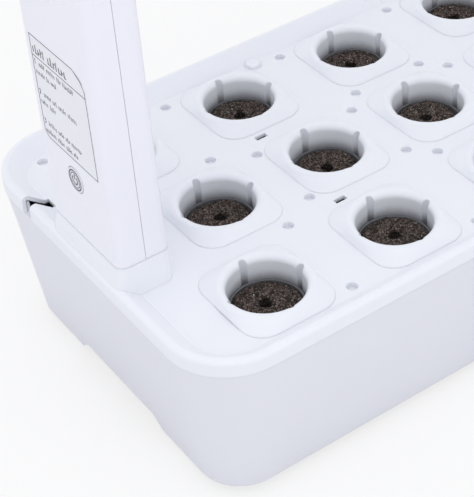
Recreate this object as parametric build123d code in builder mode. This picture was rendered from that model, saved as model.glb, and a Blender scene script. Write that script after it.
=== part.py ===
"""Countertop hydroponic garden: water tub, planting deck, and a lamp on two telescopic posts.

Millimetres, +Z up. The origin is on the floor under the middle of the deck, +X runs along the
deck and +Y to its back. The post with the power key stands at the -X end.
"""

from build123d import *
import os

os.makedirs("parts", exist_ok=True)

# ---------------------------------------------------------------------------
# Driving dimensions
# ---------------------------------------------------------------------------

# Plan of the deck
deck_length = 446.0
deck_width = 227.0
deck_corner_r = 36.0

# Tub
tub_height = 87.0  # from the wall's lower edge to the joint with the lid
tub_draft = 10.5  # how far the wall leans in from top to bottom
tub_wall = 2.4
tub_floor = 2.5
base_hollow = 9.0  # open space under the tub's floor
tub_edge_round = 0.9
tub_lip_height = 6.0
tub_lip_wall = 1.4
arch_height = 7.5
arch_half_width = 34.0
arch_run = 8.0  # length of the slope at each end of the arch
arch_round = 6.0

# Feet
foot_height = 6.0  # clear height of the wall's lower edge above the floor
foot_pad = 4.0
foot_cup = 3.0  # depth of the cup that takes the tub's boss
foot_r = 11.5
foot_boss_r = 9.0
foot_edge_round = 1.5
foot_inset_x = 26.0
foot_inset_y = 57.5

# Lid
plate = 2.25
joint_setback = 0.6  # tub wall behind the lid's skirt
rim_rise = 7.25  # raised border above the deck's field
rim_width = 4.0
rim_slope = 9.0  # plan width of the slope from the border down to the field
rim_round = 2.5
rim_inner_round = 1.2
skirt_wall = 2.2
slope_wall = 0.8

# Planting wells
wells_per_row = 5
outer_row_margin = 63.0  # middle of the last well of an outer row to the end of the deck
middle_row_margin = 81.5
row_margin = 43.5  # middle of an outer row to the long edge of the deck
well_rise = 4.75  # lip of a well above the deck's field
well_bore_r = 20.0
well_lip_round = 3.5
well_lip_flat = 1.1
well_shoulder_round = 2.0
well_sleeve_wall = 3.2
well_sleeve_depth = 24.0
ledge_width = 2.4
ledge_height = 2.0
groove_r = 2.1
groove_setback = 0.3  # axis of a groove outside the bore
pad_length = 53.0
pad_width = 59.0
pad_corner_r = 13.0
pad_step = 0.4

# Sockets for plant stakes, slots and the cable notch in the deck
socket_r = 2.9
socket_depth = 3.0
socket_wall = 1.2
socket_edge_round = 0.4
socket_side_step = 34.3  # from a well of an outer row to its socket, along X
socket_margin = 19.5  # from the long edge of the deck
# Places between the rows: column of the middle row, step from it, step from midway between rows
inner_sockets = ((0, 23.0, 1.0), (0, 35.0, -11.0), (1, 29.15, -11.0), (2, -19.1, 1.0))
slot_place = (1, 18.05, 1.0)
slot_length = 7.0
slot_width = 3.2
notch_y = 59.0
notch_width = 8.0
notch_depth = 15.0
notch_sill = 1.5  # height of the tub's lip inside the notch
corner_dip_r = 15.0
corner_dip_depth = 0.9
corner_dip_inset_x = 30.0
corner_dip_inset_y = 40.0

# Grow baskets and sponges
basket_wall = 1.2
basket_cup_height = 7.5
basket_depth = 38.0
basket_foot_r = 12.5
basket_slots = 8
basket_slot_width = 3.2
basket_slot_length = 24.0
basket_drain_r = 1.6
basket_drain_ring_r = 6.5
sponge_drop = 12.5  # top of the sponge below the lip of its well
sponge_crown_r = 18.8
seed_hole_r = 3.6
seed_hole_depth = 12.0

# Posts
post_depth = 29.0  # along X
post_width = 66.0  # along Y
post_height = 245.75
post_corner_r = 5.0
post_foot_bevel = 0.5
post_wall = 2.0
post_edge_gap = 4.0  # outer face of the post behind the edge of the deck
post_seam = 15.0  # seam behind the outer face
seam_groove = 0.5
pedestal_height = 19.0
pedestal_flare = 1.2
pedestal_ledge = 0.4
spigot_height = 6.0
spigot_wall = 1.8
cable_hole_r = 5.0

# Post screws
screw_end_margin = 28.0
screw_y = 27.0
screw_boss_r = 3.3
screw_pad_r = 4.0
screw_clear_r = 1.7
screw_pilot_r = 1.4
screw_head_r = 2.75
screw_head_height = 1.8
screw_recess_r = 3.0
screw_recess_depth = 2.4
screw_reach = 9.0

# Collars and sliding legs
collar_plug = 8.0
collar_flange = 3.0
leg_depth = 11.8
leg_width = 44.0
leg_corner_r = 2.5
leg_wall = 1.6
leg_inset = 4.5  # middle of the leg behind the seam
leg_insertion = 145.0
leg_foot_height = 8.0
leg_foot_proud = 0.8
leg_exposed = 95.0  # from the collar to the underside of the lamp

# Lamp
lamp_overhang = 4.0  # beyond the outer faces of the posts
lamp_width = 160.0
lamp_corner_r = 36.0
lamp_height = 22.0
lamp_frame_height = 6.0
lamp_wall = 2.0
lamp_round = 5.0
lamp_frame_round = 1.5
lamp_window_margin_x = 41.0
lamp_window_margin_y = 21.0
lamp_window_r = 16.0
lamp_sill = 1.8
lamp_sill_width = 3.0
diffuser_thickness = 1.6
board_thickness = 1.6
board_margin = 4.0
board_post_r = 3.5
board_lift = 3.6  # LED board above the diffuser
led_size = 5.0
led_thickness = 1.0
led_columns = 12
led_rows = 4
led_margin_x = 24.0  # from the edge of the board to the middle of the last LED
led_margin_y = 16.0
lamp_boss_r = 4.5
lamp_screw_count_x = 4
lamp_screw_margin = 9.0
lamp_screw_end = 73.0  # from the end of the lamp to the last screw

# Power key, control board and DC inlet
key_height = 36.5  # above the foot of the post
key_r = 7.0
key_proud = 0.4
key_travel = 0.8
key_flange = 1.3
key_flange_thickness = 1.0
key_stem_r = 2.0
key_stem = 0.8
switch_size = 6.0
switch_thickness = 2.0
switch_plunger_r = 1.7
switch_plunger = 0.3
control_thickness = 1.6
control_width = 40.0
control_height = 95.0
control_foot = 26.0  # lower edge of the board above the foot of the post
stake_r = 1.0
stake_boss_r = 2.6
stake_margin = 4.0
stake_head = 0.8
board_parts = (  # on the board's inner side: y, height above its edge, width, height, thickness
    (-11.0, 8.0, 8.0, 6.0, 2.3),
    (1.0, 8.0, 10.0, 6.0, 2.3),
    (9.5, 38.0, 5.0, 6.5, 1.5),
    (-8.0, 60.0, 8.0, 8.0, 2.3),
    (7.0, 62.0, 7.0, 5.0, 1.2),
    (7.0, 76.0, 6.0, 4.0, 1.8),
)
dimple_height = 16.0
dimple_r = 10.0
dimple_depth = 0.9
jack_height = 13.75
jack_setback = 9.0  # axis of the socket behind the outer face of the post
jack_size = 8.0
jack_length = 11.0
jack_bore_r = 2.85
jack_bore_depth = 9.0
jack_nose_r = 3.8
label_width = 50.0
label_height = 58.75
label_foot = 49.75
label_thickness = 0.25
label_corner_x = 9.5
label_corner_z = 7.0

# Service plug
plug_x = -51.5
plug_margin = 16.3  # from the back edge of the deck
plug_boss_r = 4.8
plug_boss_rise = 1.0
plug_head_r = 4.2
plug_head = 1.0
plug_stem_r = 2.9
plug_stem = 5.0

# Circulation pump
pump_gap = 9.9  # between the tub's end wall and the pump
pump_length = 26.0
pump_width = 38.0
pump_height = 30.0
pump_round = 3.0
pump_cover = 5.0
chamber_r = 11.5
chamber_depth = 8.0
rotor_r = 5.0
rotor_length = 13.0
vane_r = 9.5
vane_height = 5.5
vane_thickness = 1.2
vane_count = 6
pump_shaft_r = 1.2
shaft_seat = 1.5
nozzle_r = 4.0
nozzle_bore_r = 2.8
nozzle_height = 12.0
sucker_r = 4.5
sucker_height = 3.0
sucker_neck_r = 2.0
sucker_neck = 1.8
inlet_slots = 5
inlet_slot_width = 1.6
inlet_slot_pitch = 3.2
inlet_slot_start = 2.4  # from the pump's axis to a slot's inner end
inlet_slot_length = 7.0

# Clearances
fit_gap = 0.3  # between parts that slide, drop in or move
press_gap = 0.1  # between parts that are pushed together
bearing_gap = 0.05  # radial, impeller on its shaft

# ---------------------------------------------------------------------------
# Levels and places that follow
# ---------------------------------------------------------------------------

tub_foot_z = foot_height
joint_z = tub_foot_z + tub_height
floor_under_z = tub_foot_z + base_hollow
floor_top_z = floor_under_z + tub_floor
field_z = joint_z + plate
lip_z = field_z + well_rise
rim_z = field_z + rim_rise
post_foot_z = field_z + pedestal_height
post_top_z = post_foot_z + post_height
collar_top_z = post_top_z + collar_flange
lamp_under_z = collar_top_z + leg_exposed
lamp_joint_z = lamp_under_z + lamp_frame_height
lamp_top_z = lamp_under_z + lamp_height

sleeve_foot_z = lip_z - well_sleeve_depth
ledge_z = sleeve_foot_z + ledge_height
sleeve_r = well_bore_r + well_sleeve_wall
ledge_r = well_bore_r - ledge_width

post_face_x = deck_length / 2 - post_edge_gap
post_mid_x = post_face_x - post_depth / 2
post_back_x = post_face_x - post_depth
seam_x = post_face_x - post_seam
leg_x = seam_x - leg_inset
key_z = post_foot_z + key_height
jack_z = post_foot_z + jack_height
jack_x = post_face_x - jack_setback
inner_depth = post_depth - 2 * post_wall
inner_width = post_width - 2 * post_wall

key_flange_x = post_face_x - post_wall - fit_gap
key_stem_x = key_flange_x - key_flange_thickness - key_stem
control_x = key_stem_x - key_travel - fit_gap - switch_plunger - switch_thickness
control_foot_z = post_foot_z + control_foot
control_mid_z = control_foot_z + control_height / 2

outer_row_pitch = (deck_length - 2 * outer_row_margin) / (wells_per_row - 1)
middle_row_pitch = (deck_length - 2 * middle_row_margin) / (wells_per_row - 1)
row_spacing = deck_width / 2 - row_margin
outer_row = [(outer_row_pitch * (i - (wells_per_row - 1) / 2)) for i in range(wells_per_row)]
middle_row = [(middle_row_pitch * (i - (wells_per_row - 1) / 2)) for i in range(wells_per_row)]
well_spots = (
    [(x, -row_spacing) for x in outer_row]
    + [(x, 0.0) for x in middle_row]
    + [(x, row_spacing) for x in outer_row]
)
foot_spots = [
    (sx * (deck_length / 2 - foot_inset_x), sy * (deck_width / 2 - foot_inset_y))
    for sx in (-1, 1)
    for sy in (-1, 1)
]


def save(node, name):
    """Label a finished piece and write it under its own name."""
    node.label = name
    export_step(node, f"parts/{name}.step")


def deck_outline(inset):
    """Plan outline of the deck, moved in from its edge."""
    return RectangleRounded(
        deck_length - 2 * inset,
        deck_width - 2 * inset,
        deck_corner_r - inset,
    )


def wall_inset(z):
    """Outer face of the tub's wall behind the edge of the deck at a height."""
    return joint_setback + tub_draft * (joint_z - z) / tub_height


# ---------------------------------------------------------------------------
# Tub and feet
# ---------------------------------------------------------------------------

tub_lip_inset = skirt_wall + fit_gap
tub_lip_z = joint_z + tub_lip_height
arch_top_z = tub_foot_z + arch_height
arch_foot_half = arch_half_width + arch_run
arch_margin = arch_foot_half + arch_run
arch_x = deck_length / 2 - wall_inset(tub_foot_z) - tub_wall / 2

with BuildPart() as tub:
    # Drafted body
    with BuildSketch(Plane.XY.offset(tub_foot_z)):
        deck_outline(wall_inset(tub_foot_z))
    with BuildSketch(Plane.XY.offset(joint_z)):
        deck_outline(wall_inset(joint_z))
    loft()
    fillet(tub.edges().group_by(Axis.Z)[0], tub_edge_round)
    # Lip that stands inside the lid's skirt
    with BuildSketch(Plane.XY.offset(joint_z)):
        deck_outline(tub_lip_inset)
    extrude(amount=tub_lip_height)
    # Water space
    with BuildSketch(Plane.XY.offset(floor_top_z)):
        deck_outline(wall_inset(floor_top_z) + tub_wall)
    with BuildSketch(Plane.XY.offset(tub_lip_z)):
        deck_outline(tub_lip_inset + tub_lip_wall)
    loft(mode=Mode.SUBTRACT)
    # Hollow under the floor
    with BuildSketch(Plane.XY.offset(tub_foot_z)):
        deck_outline(wall_inset(tub_foot_z) + tub_wall)
    with BuildSketch(Plane.XY.offset(floor_under_z)):
        deck_outline(wall_inset(floor_under_z) + tub_wall)
    loft(mode=Mode.SUBTRACT)
    # Arched finger gap in each end wall
    for side in (-1, 1):
        with BuildSketch(Plane.YZ.offset(side * arch_x)):
            with BuildLine():
                FilletPolyline(
                    (-arch_margin, tub_foot_z - arch_run),
                    (-arch_margin, tub_foot_z),
                    (-arch_foot_half, tub_foot_z),
                    (-arch_half_width, arch_top_z),
                    (arch_half_width, arch_top_z),
                    (arch_foot_half, tub_foot_z),
                    (arch_margin, tub_foot_z),
                    (arch_margin, tub_foot_z - arch_run),
                    radius=[0, 0, arch_round, arch_round, arch_round, arch_round, 0, 0],
                    close=True,
                )
            make_face()
        extrude(amount=tub_draft, both=True, mode=Mode.SUBTRACT)
    # Low stretch of the lip under the notch of the deck
    with BuildSketch(Plane.XY.offset(joint_z + notch_sill)):
        with Locations((-deck_length / 2, notch_y)):
            Rectangle(2 * notch_depth, notch_width)
    extrude(amount=tub_lip_height - notch_sill, mode=Mode.SUBTRACT)
    # Bosses for the feet
    with BuildSketch(Plane.XY.offset(foot_pad)):
        with Locations(*foot_spots):
            Circle(foot_boss_r)
    extrude(amount=floor_under_z - foot_pad)
save(tub.part, "tub")

foot_cup_z = foot_pad + foot_cup
foot_cup_r = foot_boss_r + press_gap
with BuildPart() as foot_form:
    with BuildSketch():
        Circle(foot_r)
    extrude(amount=foot_cup_z)
    with BuildSketch(Plane.XY.offset(foot_pad)):
        Circle(foot_cup_r)
    extrude(amount=foot_cup, mode=Mode.SUBTRACT)
    fillet(foot_form.edges().group_by(Axis.Z)[0], foot_edge_round)
for number, (x, y) in enumerate(foot_spots, 1):
    save(foot_form.part.moved(Location((x, y, 0))), f"rubber_foot_{number}")

# ---------------------------------------------------------------------------
# Lid
# ---------------------------------------------------------------------------

# Raised well: low pad, a mound that turns from the pad's outline to the round lip, a sleeve
with BuildPart() as well_mound:
    with BuildSketch(Plane.XY.offset(field_z)):
        RectangleRounded(pad_length, pad_width, pad_corner_r)
    extrude(amount=pad_step)
    with BuildSketch(Plane.XY.offset(field_z + pad_step)):
        RectangleRounded(pad_length, pad_width, pad_corner_r)
    with BuildSketch(Plane.XY.offset(lip_z)):
        Circle(well_bore_r + well_lip_round + well_lip_flat)
    loft()
    fillet(well_mound.edges().group_by(Axis.Z)[-1], well_shoulder_round)
    with BuildSketch(Plane.XY.offset(sleeve_foot_z)):
        Circle(sleeve_r)
    extrude(amount=field_z - sleeve_foot_z)

# What a well cuts away: the bore with its rounded lip, the ledge's opening and four grooves
lip_start_z = lip_z - well_lip_round
with BuildPart() as well_bore:
    with BuildSketch(Plane.XZ):
        with BuildLine():
            CenterArc((well_bore_r + well_lip_round, lip_start_z), well_lip_round, 180, -90)
            Polyline(
                (well_bore_r + well_lip_round, lip_z),
                (well_bore_r + well_lip_round, rim_z),
                (0, rim_z),
                (0, sleeve_foot_z - plate),
                (ledge_r, sleeve_foot_z - plate),
                (ledge_r, ledge_z),
                (well_bore_r, ledge_z),
                (well_bore_r, lip_start_z),
            )
        make_face()
    revolve(axis=Axis.Z)
    with BuildSketch(Plane.XY.offset(ledge_z)):
        with PolarLocations(well_bore_r + groove_setback, 4):
            Circle(groove_r)
    extrude(amount=rim_z - ledge_z)

# Shallow round dip in a corner of the field
dip_sphere_r = (corner_dip_r**2 + corner_dip_depth**2) / (2 * corner_dip_depth)
with BuildPart() as corner_dip:
    with BuildSketch(Plane.XY.offset(field_z)):
        Circle(corner_dip_r)
    extrude(amount=-2 * corner_dip_depth)
    with Locations((0, 0, field_z + dip_sphere_r - corner_dip_depth)):
        Sphere(dip_sphere_r, rotation=(90, 0, 0), mode=Mode.INTERSECT)

# Space between the raised border, the skirt and the slope down to the field
border_under_z = rim_z - plate
with BuildPart() as rim_hollow:
    with BuildSketch(Plane.XY.offset(joint_z)):
        deck_outline(skirt_wall)
    extrude(amount=border_under_z - joint_z)
    with BuildSketch(Plane.XY.offset(joint_z)):
        deck_outline(rim_width + rim_slope - slope_wall)
    with BuildSketch(Plane.XY.offset(border_under_z)):
        deck_outline(rim_width - slope_wall)
    loft(mode=Mode.SUBTRACT)

# Socket of a plant stake: a boss under the plate, and the blind hole with its rounded mouth
socket_floor_z = field_z - socket_depth
socket_mouth_r = socket_r + socket_edge_round
with BuildPart() as socket_hole:
    with BuildSketch(Plane.XZ):
        with BuildLine():
            CenterArc((socket_mouth_r, field_z - socket_edge_round), socket_edge_round, 180, -90)
            Polyline(
                (socket_mouth_r, field_z),
                (socket_mouth_r, rim_z),
                (0, rim_z),
                (0, socket_floor_z),
                (socket_r, socket_floor_z),
                (socket_r, field_z - socket_edge_round),
            )
        make_face()
    revolve(axis=Axis.Z)


def between_rows(column, step_x, step_y):
    """The four mirrored places beside a well of the middle row, between it and the outer rows."""
    x = column * middle_row_pitch + step_x
    y = row_spacing / 2 + step_y
    return [(sx * x, sy * y) for sx in (-1, 1) for sy in (-1, 1)]


socket_row_y = deck_width / 2 - socket_margin
socket_spots = (
    [(x + socket_side_step, -socket_row_y) for x in outer_row]
    + [(x - socket_side_step, socket_row_y) for x in outer_row]
    + [spot for place in inner_sockets for spot in between_rows(*place)]
)
slot_spots = between_rows(*slot_place)
dip_x = deck_length / 2 - corner_dip_inset_x
dip_y = deck_width / 2 - corner_dip_inset_y
pedestal_foot_x = deck_length / 2 - pedestal_ledge - (post_depth + post_edge_gap) / 2
pedestal_cavity_height = post_foot_z - plate - joint_z
plug_y = deck_width / 2 - plug_margin
plug_seat_z = field_z + plug_boss_rise

with BuildPart() as deck_lid:
    # Plate with its skirt, raised border and sunken field
    with BuildSketch(Plane.XY.offset(joint_z)):
        deck_outline(0)
    extrude(amount=rim_z - joint_z)
    fillet(deck_lid.edges().group_by(Axis.Z)[-1], rim_round)
    with BuildSketch(Plane.XY.offset(rim_z)):
        deck_outline(rim_width)
    with BuildSketch(Plane.XY.offset(field_z)):
        deck_outline(rim_width + rim_slope)
    loft(mode=Mode.SUBTRACT)
    fillet(deck_lid.edges().group_by(Axis.Z)[-1], rim_inner_round)
    add(rim_hollow.part, mode=Mode.SUBTRACT)
    # Shallow dips in the corners of the field
    with Locations(*[(sx * dip_x, sy * dip_y, 0) for sx in (-1, 1) for sy in (-1, 1)]):
        add(corner_dip.part, mode=Mode.SUBTRACT)
    # Wells
    with Locations(*well_spots):
        add(well_mound.part)
    with Locations(*well_spots):
        add(well_bore.part, mode=Mode.SUBTRACT)
    # Sockets and slots
    with BuildSketch(Plane.XY.offset(socket_floor_z - socket_wall)):
        with Locations(*socket_spots):
            Circle(socket_r + socket_wall)
    extrude(amount=joint_z - socket_floor_z + socket_wall)
    with Locations(*socket_spots):
        add(socket_hole.part, mode=Mode.SUBTRACT)
    with BuildSketch(Plane.XY.offset(joint_z)):
        with Locations(*slot_spots):
            Rectangle(slot_length, slot_width)
    extrude(amount=rim_z - joint_z, mode=Mode.SUBTRACT)
    # Pedestals of the posts, each with a hollow, a spigot and a hole for the leads
    for side in (-1, 1):
        with BuildSketch(Plane.XY.offset(joint_z)):
            with Locations((side * pedestal_foot_x, 0)):
                RectangleRounded(
                    post_depth + post_edge_gap - pedestal_ledge,
                    post_width + 2 * pedestal_flare,
                    post_corner_r,
                )
        with BuildSketch(Plane.XY.offset(post_foot_z)):
            with Locations((side * post_mid_x, 0)):
                RectangleRounded(
                    post_depth + 2 * pedestal_ledge,
                    post_width + 2 * pedestal_ledge,
                    post_corner_r,
                )
        loft()
        with BuildSketch(Plane.XY.offset(post_foot_z)):
            with Locations((side * post_mid_x, 0)):
                RectangleRounded(
                    inner_depth - 2 * fit_gap,
                    inner_width - 2 * fit_gap,
                    post_corner_r - post_wall,
                )
                offset(amount=-spigot_wall, mode=Mode.SUBTRACT)
        extrude(amount=spigot_height)
        with BuildSketch(Plane.XY.offset(joint_z)):
            with Locations((side * post_mid_x, 0)):
                Rectangle(inner_depth, inner_width)
        extrude(amount=pedestal_cavity_height, mode=Mode.SUBTRACT)
        with BuildSketch(Plane.XY.offset(joint_z)):
            with Locations((side * post_mid_x, 0)):
                Circle(cable_hole_r)
        extrude(amount=post_foot_z + spigot_height - joint_z, mode=Mode.SUBTRACT)
    # Room for the tub's lip under the pedestals
    add(rim_hollow.part, mode=Mode.SUBTRACT)
    # Notch in the edge for the pump's lead, behind the post with the key
    with BuildSketch(Plane.XY.offset(joint_z)):
        with Locations((-deck_length / 2, notch_y)):
            Rectangle(2 * notch_depth, notch_width)
    extrude(amount=rim_z - joint_z, mode=Mode.SUBTRACT)
    # Boss and hole of the service plug
    with BuildSketch(Plane.XY.offset(joint_z)):
        with Locations((plug_x, plug_y)):
            Circle(plug_boss_r)
    extrude(amount=plate + plug_boss_rise)
    with BuildSketch(Plane.XY.offset(joint_z)):
        with Locations((plug_x, plug_y)):
            Circle(plug_stem_r + press_gap)
    extrude(amount=plate + plug_boss_rise, mode=Mode.SUBTRACT)
save(deck_lid.part, "deck_lid")

with BuildPart() as service_plug:
    with BuildSketch(Plane.XY.offset(plug_seat_z)):
        with Locations((plug_x, plug_y)):
            Circle(plug_head_r)
    extrude(amount=plug_head)
    fillet(service_plug.edges().group_by(Axis.Z)[-1], plug_head / 2)
    with BuildSketch(Plane.XY.offset(plug_seat_z - plug_stem)):
        with Locations((plug_x, plug_y)):
            Circle(plug_stem_r)
    extrude(amount=plug_stem)
save(service_plug.part, "service_plug")

# ---------------------------------------------------------------------------
# Grow baskets and sponges
# ---------------------------------------------------------------------------

cup_r = well_bore_r - fit_gap
cup_top_z = ledge_z + basket_cup_height
basket_neck_r = ledge_r - fit_gap
basket_foot_z = ledge_z - basket_depth
basket_slot_z = (ledge_z + basket_foot_z) / 2
sponge_top_z = lip_z - sponge_drop
sponge_gap_r = basket_wall + fit_gap

with BuildPart() as basket_form:
    with BuildSketch(Plane.XZ):
        Polygon(
            (0, basket_foot_z),
            (basket_foot_r, basket_foot_z),
            (basket_neck_r, ledge_z),
            (cup_r, ledge_z),
            (cup_r, cup_top_z),
            (cup_r - basket_wall, cup_top_z),
            (cup_r - basket_wall, ledge_z + basket_wall),
            (basket_neck_r - basket_wall, ledge_z + basket_wall),
            (basket_foot_r - basket_wall, basket_foot_z + basket_wall),
            (0, basket_foot_z + basket_wall),
            align=None,
        )
    revolve(axis=Axis.Z)
    # Long slots round the side
    for turn in range(basket_slots):
        with BuildSketch(Plane.XZ.rotated((0, 0, 360 * turn / basket_slots))):
            with Locations((0, basket_slot_z)):
                SlotOverall(basket_slot_length, basket_slot_width, rotation=90)
        extrude(amount=cup_r, mode=Mode.SUBTRACT)
    # Drain holes in the bottom
    with BuildSketch(Plane.XY.offset(basket_foot_z)):
        Circle(basket_drain_r)
        with PolarLocations(basket_drain_ring_r, basket_slots):
            Circle(basket_drain_r)
    extrude(amount=basket_wall, mode=Mode.SUBTRACT)

with BuildPart() as sponge_form:
    with BuildSketch(Plane.XZ):
        Polygon(
            (0, basket_foot_z + basket_wall),
            (basket_foot_r - sponge_gap_r, basket_foot_z + basket_wall),
            (basket_neck_r - sponge_gap_r, ledge_z + basket_wall),
            (cup_r - sponge_gap_r, ledge_z + basket_wall),
            (cup_r - sponge_gap_r, cup_top_z),
            (sponge_crown_r, cup_top_z),
            (sponge_crown_r, sponge_top_z),
            (seed_hole_r, sponge_top_z),
            (seed_hole_r, sponge_top_z - seed_hole_depth),
            (0, sponge_top_z - seed_hole_depth),
            align=None,
        )
    revolve(axis=Axis.Z)

for number, (x, y) in enumerate(well_spots, 1):
    save(basket_form.part.moved(Location((x, y, 0))), f"grow_basket_{number:02d}")
    save(sponge_form.part.moved(Location((x, y, 0))), f"grow_sponge_{number:02d}")

# ---------------------------------------------------------------------------
# Posts
# ---------------------------------------------------------------------------

screw_levels = (post_foot_z + screw_end_margin, post_top_z - screw_end_margin)
screw_places = [(sy * screw_y, z) for sy in (-1, 1) for z in screw_levels]
stake_places = [
    (sy * (control_width / 2 - stake_margin), control_mid_z + sz * (control_height / 2 - stake_margin))
    for sy in (-1, 1)
    for sz in (-1, 1)
]
dimple_z = post_foot_z + dimple_height
dimple_sphere_r = (dimple_r**2 + dimple_depth**2) / (2 * dimple_depth)
inner_face_x = post_face_x - post_wall
inner_back_x = post_back_x + post_wall


def across(x):
    """Plane across the +X post at a distance along X, its sketch axes along +Y and +Z."""
    return Plane(origin=(x, 0, 0), x_dir=(0, 1, 0), z_dir=(1, 0, 0))


def post_foot_edges(form):
    """Outer edges of the lower end of a post's tube."""
    return form.faces().sort_by(Axis.Z)[0].outer_wire().edges()


# Both halves are drawn for the +X post, and the other post is their mirror image
with BuildPart() as post_outer_form:
    with BuildSketch(Plane.XY.offset(post_foot_z)):
        with Locations((post_mid_x, 0)):
            RectangleRounded(post_depth, post_width, post_corner_r)
            RectangleRounded(inner_depth, inner_width, post_corner_r - post_wall, mode=Mode.SUBTRACT)
    extrude(amount=post_height)
    chamfer(post_foot_edges(post_outer_form), post_foot_bevel)
    split(bisect_by=Plane.YZ.offset(seam_x), keep=Keep.TOP)
    # Fine groove along the seam
    with BuildSketch(across(seam_x)):
        for sy in (-1, 1):
            with Locations((sy * post_width / 2, post_foot_z + post_height / 2)):
                Rectangle(2 * seam_groove, post_height)
    extrude(amount=seam_groove / 2, mode=Mode.SUBTRACT)
    # Screw bosses with pilot holes
    with BuildSketch(across(seam_x)):
        with Locations(*screw_places):
            Circle(screw_boss_r)
    extrude(amount=inner_face_x - seam_x)
    with BuildSketch(across(seam_x)):
        with Locations(*screw_places):
            Circle(screw_pilot_r + press_gap)
    extrude(amount=screw_reach, mode=Mode.SUBTRACT)

with BuildPart() as post_inner_form:
    with BuildSketch(Plane.XY.offset(post_foot_z)):
        with Locations((post_mid_x, 0)):
            RectangleRounded(post_depth, post_width, post_corner_r)
            RectangleRounded(inner_depth, inner_width, post_corner_r - post_wall, mode=Mode.SUBTRACT)
    extrude(amount=post_height)
    chamfer(post_foot_edges(post_inner_form), post_foot_bevel)
    split(bisect_by=Plane.YZ.offset(seam_x), keep=Keep.BOTTOM)
    with BuildSketch(across(inner_back_x)):
        with Locations(*screw_places):
            Circle(screw_pad_r)
    extrude(amount=screw_recess_depth)
    with BuildSketch(across(inner_back_x)):
        with Locations(*screw_places):
            Circle(screw_boss_r)
    extrude(amount=seam_x - inner_back_x)
    with BuildSketch(across(post_back_x)):
        with Locations(*screw_places):
            Circle(screw_clear_r)
    extrude(amount=seam_x - post_back_x, mode=Mode.SUBTRACT)
    with BuildSketch(across(post_back_x)):
        with Locations(*screw_places):
            Circle(screw_recess_r)
    extrude(amount=screw_recess_depth, mode=Mode.SUBTRACT)

# The post with the key carries the board's stakes, the key's hole, a dimple and the DC inlet
key_hole_r = key_r + fit_gap
jack_y = post_width / 2
with BuildPart() as left_outer_form:
    add(post_outer_form.part)
    with BuildSketch(across(inner_face_x)):
        with Locations(*stake_places):
            Circle(stake_boss_r)
    extrude(amount=-(inner_face_x - control_x))
    with BuildSketch(across(control_x)):
        with Locations(*stake_places):
            Circle(stake_r)
    extrude(amount=-(control_thickness + stake_head))
    with BuildSketch(across(inner_face_x)):
        with Locations((0, key_z)):
            Circle(key_hole_r)
    extrude(amount=post_wall, mode=Mode.SUBTRACT)
    with Locations((post_face_x + dimple_sphere_r - dimple_depth, 0, dimple_z)):
        Sphere(dimple_sphere_r, mode=Mode.SUBTRACT)
    with BuildSketch(Plane.XZ.offset(-jack_y)):
        with Locations((jack_x, jack_z)):
            Circle(jack_nose_r + press_gap)
    extrude(amount=post_wall, mode=Mode.SUBTRACT)

screw_seat_x = post_back_x + screw_recess_depth
with BuildPart() as post_screw_form:
    with BuildSketch(across(screw_seat_x)):
        with Locations(*screw_places):
            Circle(screw_head_r)
    extrude(amount=-screw_head_height)
    fillet(post_screw_form.edges().group_by(Axis.X)[0], screw_head_height / 3)
    with BuildSketch(across(screw_seat_x)):
        with Locations(*screw_places):
            Circle(screw_pilot_r)
    extrude(amount=seam_x - screw_seat_x + screw_reach - fit_gap)

# Collar in the mouth of a post, with the opening that guides the leg
with BuildPart() as collar_form:
    with BuildSketch(Plane.XY.offset(post_top_z)):
        with Locations((post_mid_x, 0)):
            RectangleRounded(post_depth, post_width, post_corner_r)
    extrude(amount=collar_flange)
    fillet(collar_form.edges().group_by(Axis.Z)[-1], collar_flange / 2)
    with BuildSketch(Plane.XY.offset(post_top_z)):
        with Locations((post_mid_x, 0)):
            RectangleRounded(
                inner_depth - 2 * press_gap,
                inner_width - 2 * press_gap,
                post_corner_r - post_wall,
            )
    extrude(amount=-collar_plug)
    with BuildSketch(Plane.XY.offset(collar_top_z)):
        with Locations((leg_x, 0)):
            RectangleRounded(leg_depth + 2 * fit_gap, leg_width + 2 * fit_gap, leg_corner_r + fit_gap)
    extrude(amount=-(collar_flange + collar_plug), mode=Mode.SUBTRACT)

save(mirror(left_outer_form.part, about=Plane.YZ), "left_post_outer_shell")
save(mirror(post_inner_form.part, about=Plane.YZ), "left_post_inner_shell")
save(mirror(collar_form.part, about=Plane.YZ), "left_post_collar")
save(post_outer_form.part, "right_post_outer_shell")
save(post_inner_form.part, "right_post_inner_shell")
save(collar_form.part, "right_post_collar")
with BuildPart() as post_screws:
    add(post_screw_form.part)
    mirror(about=Plane.YZ)
save(post_screws.part, "post_screws")

# ---------------------------------------------------------------------------
# Power key, control board, DC inlet and label
# ---------------------------------------------------------------------------

with BuildPart() as power_key_form:
    with BuildSketch(across(key_flange_x)):
        with Locations((0, key_z)):
            Circle(key_r)
    extrude(amount=post_wall + fit_gap + key_proud)
    fillet(power_key_form.edges().group_by(Axis.X)[-1], key_proud)
    with BuildSketch(across(key_flange_x)):
        with Locations((0, key_z)):
            Circle(key_r + key_flange)
    extrude(amount=-key_flange_thickness)
    with BuildSketch(across(key_flange_x - key_flange_thickness)):
        with Locations((0, key_z)):
            Circle(key_stem_r)
    extrude(amount=-key_stem)
save(mirror(power_key_form.part, about=Plane.YZ), "power_key")

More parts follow.
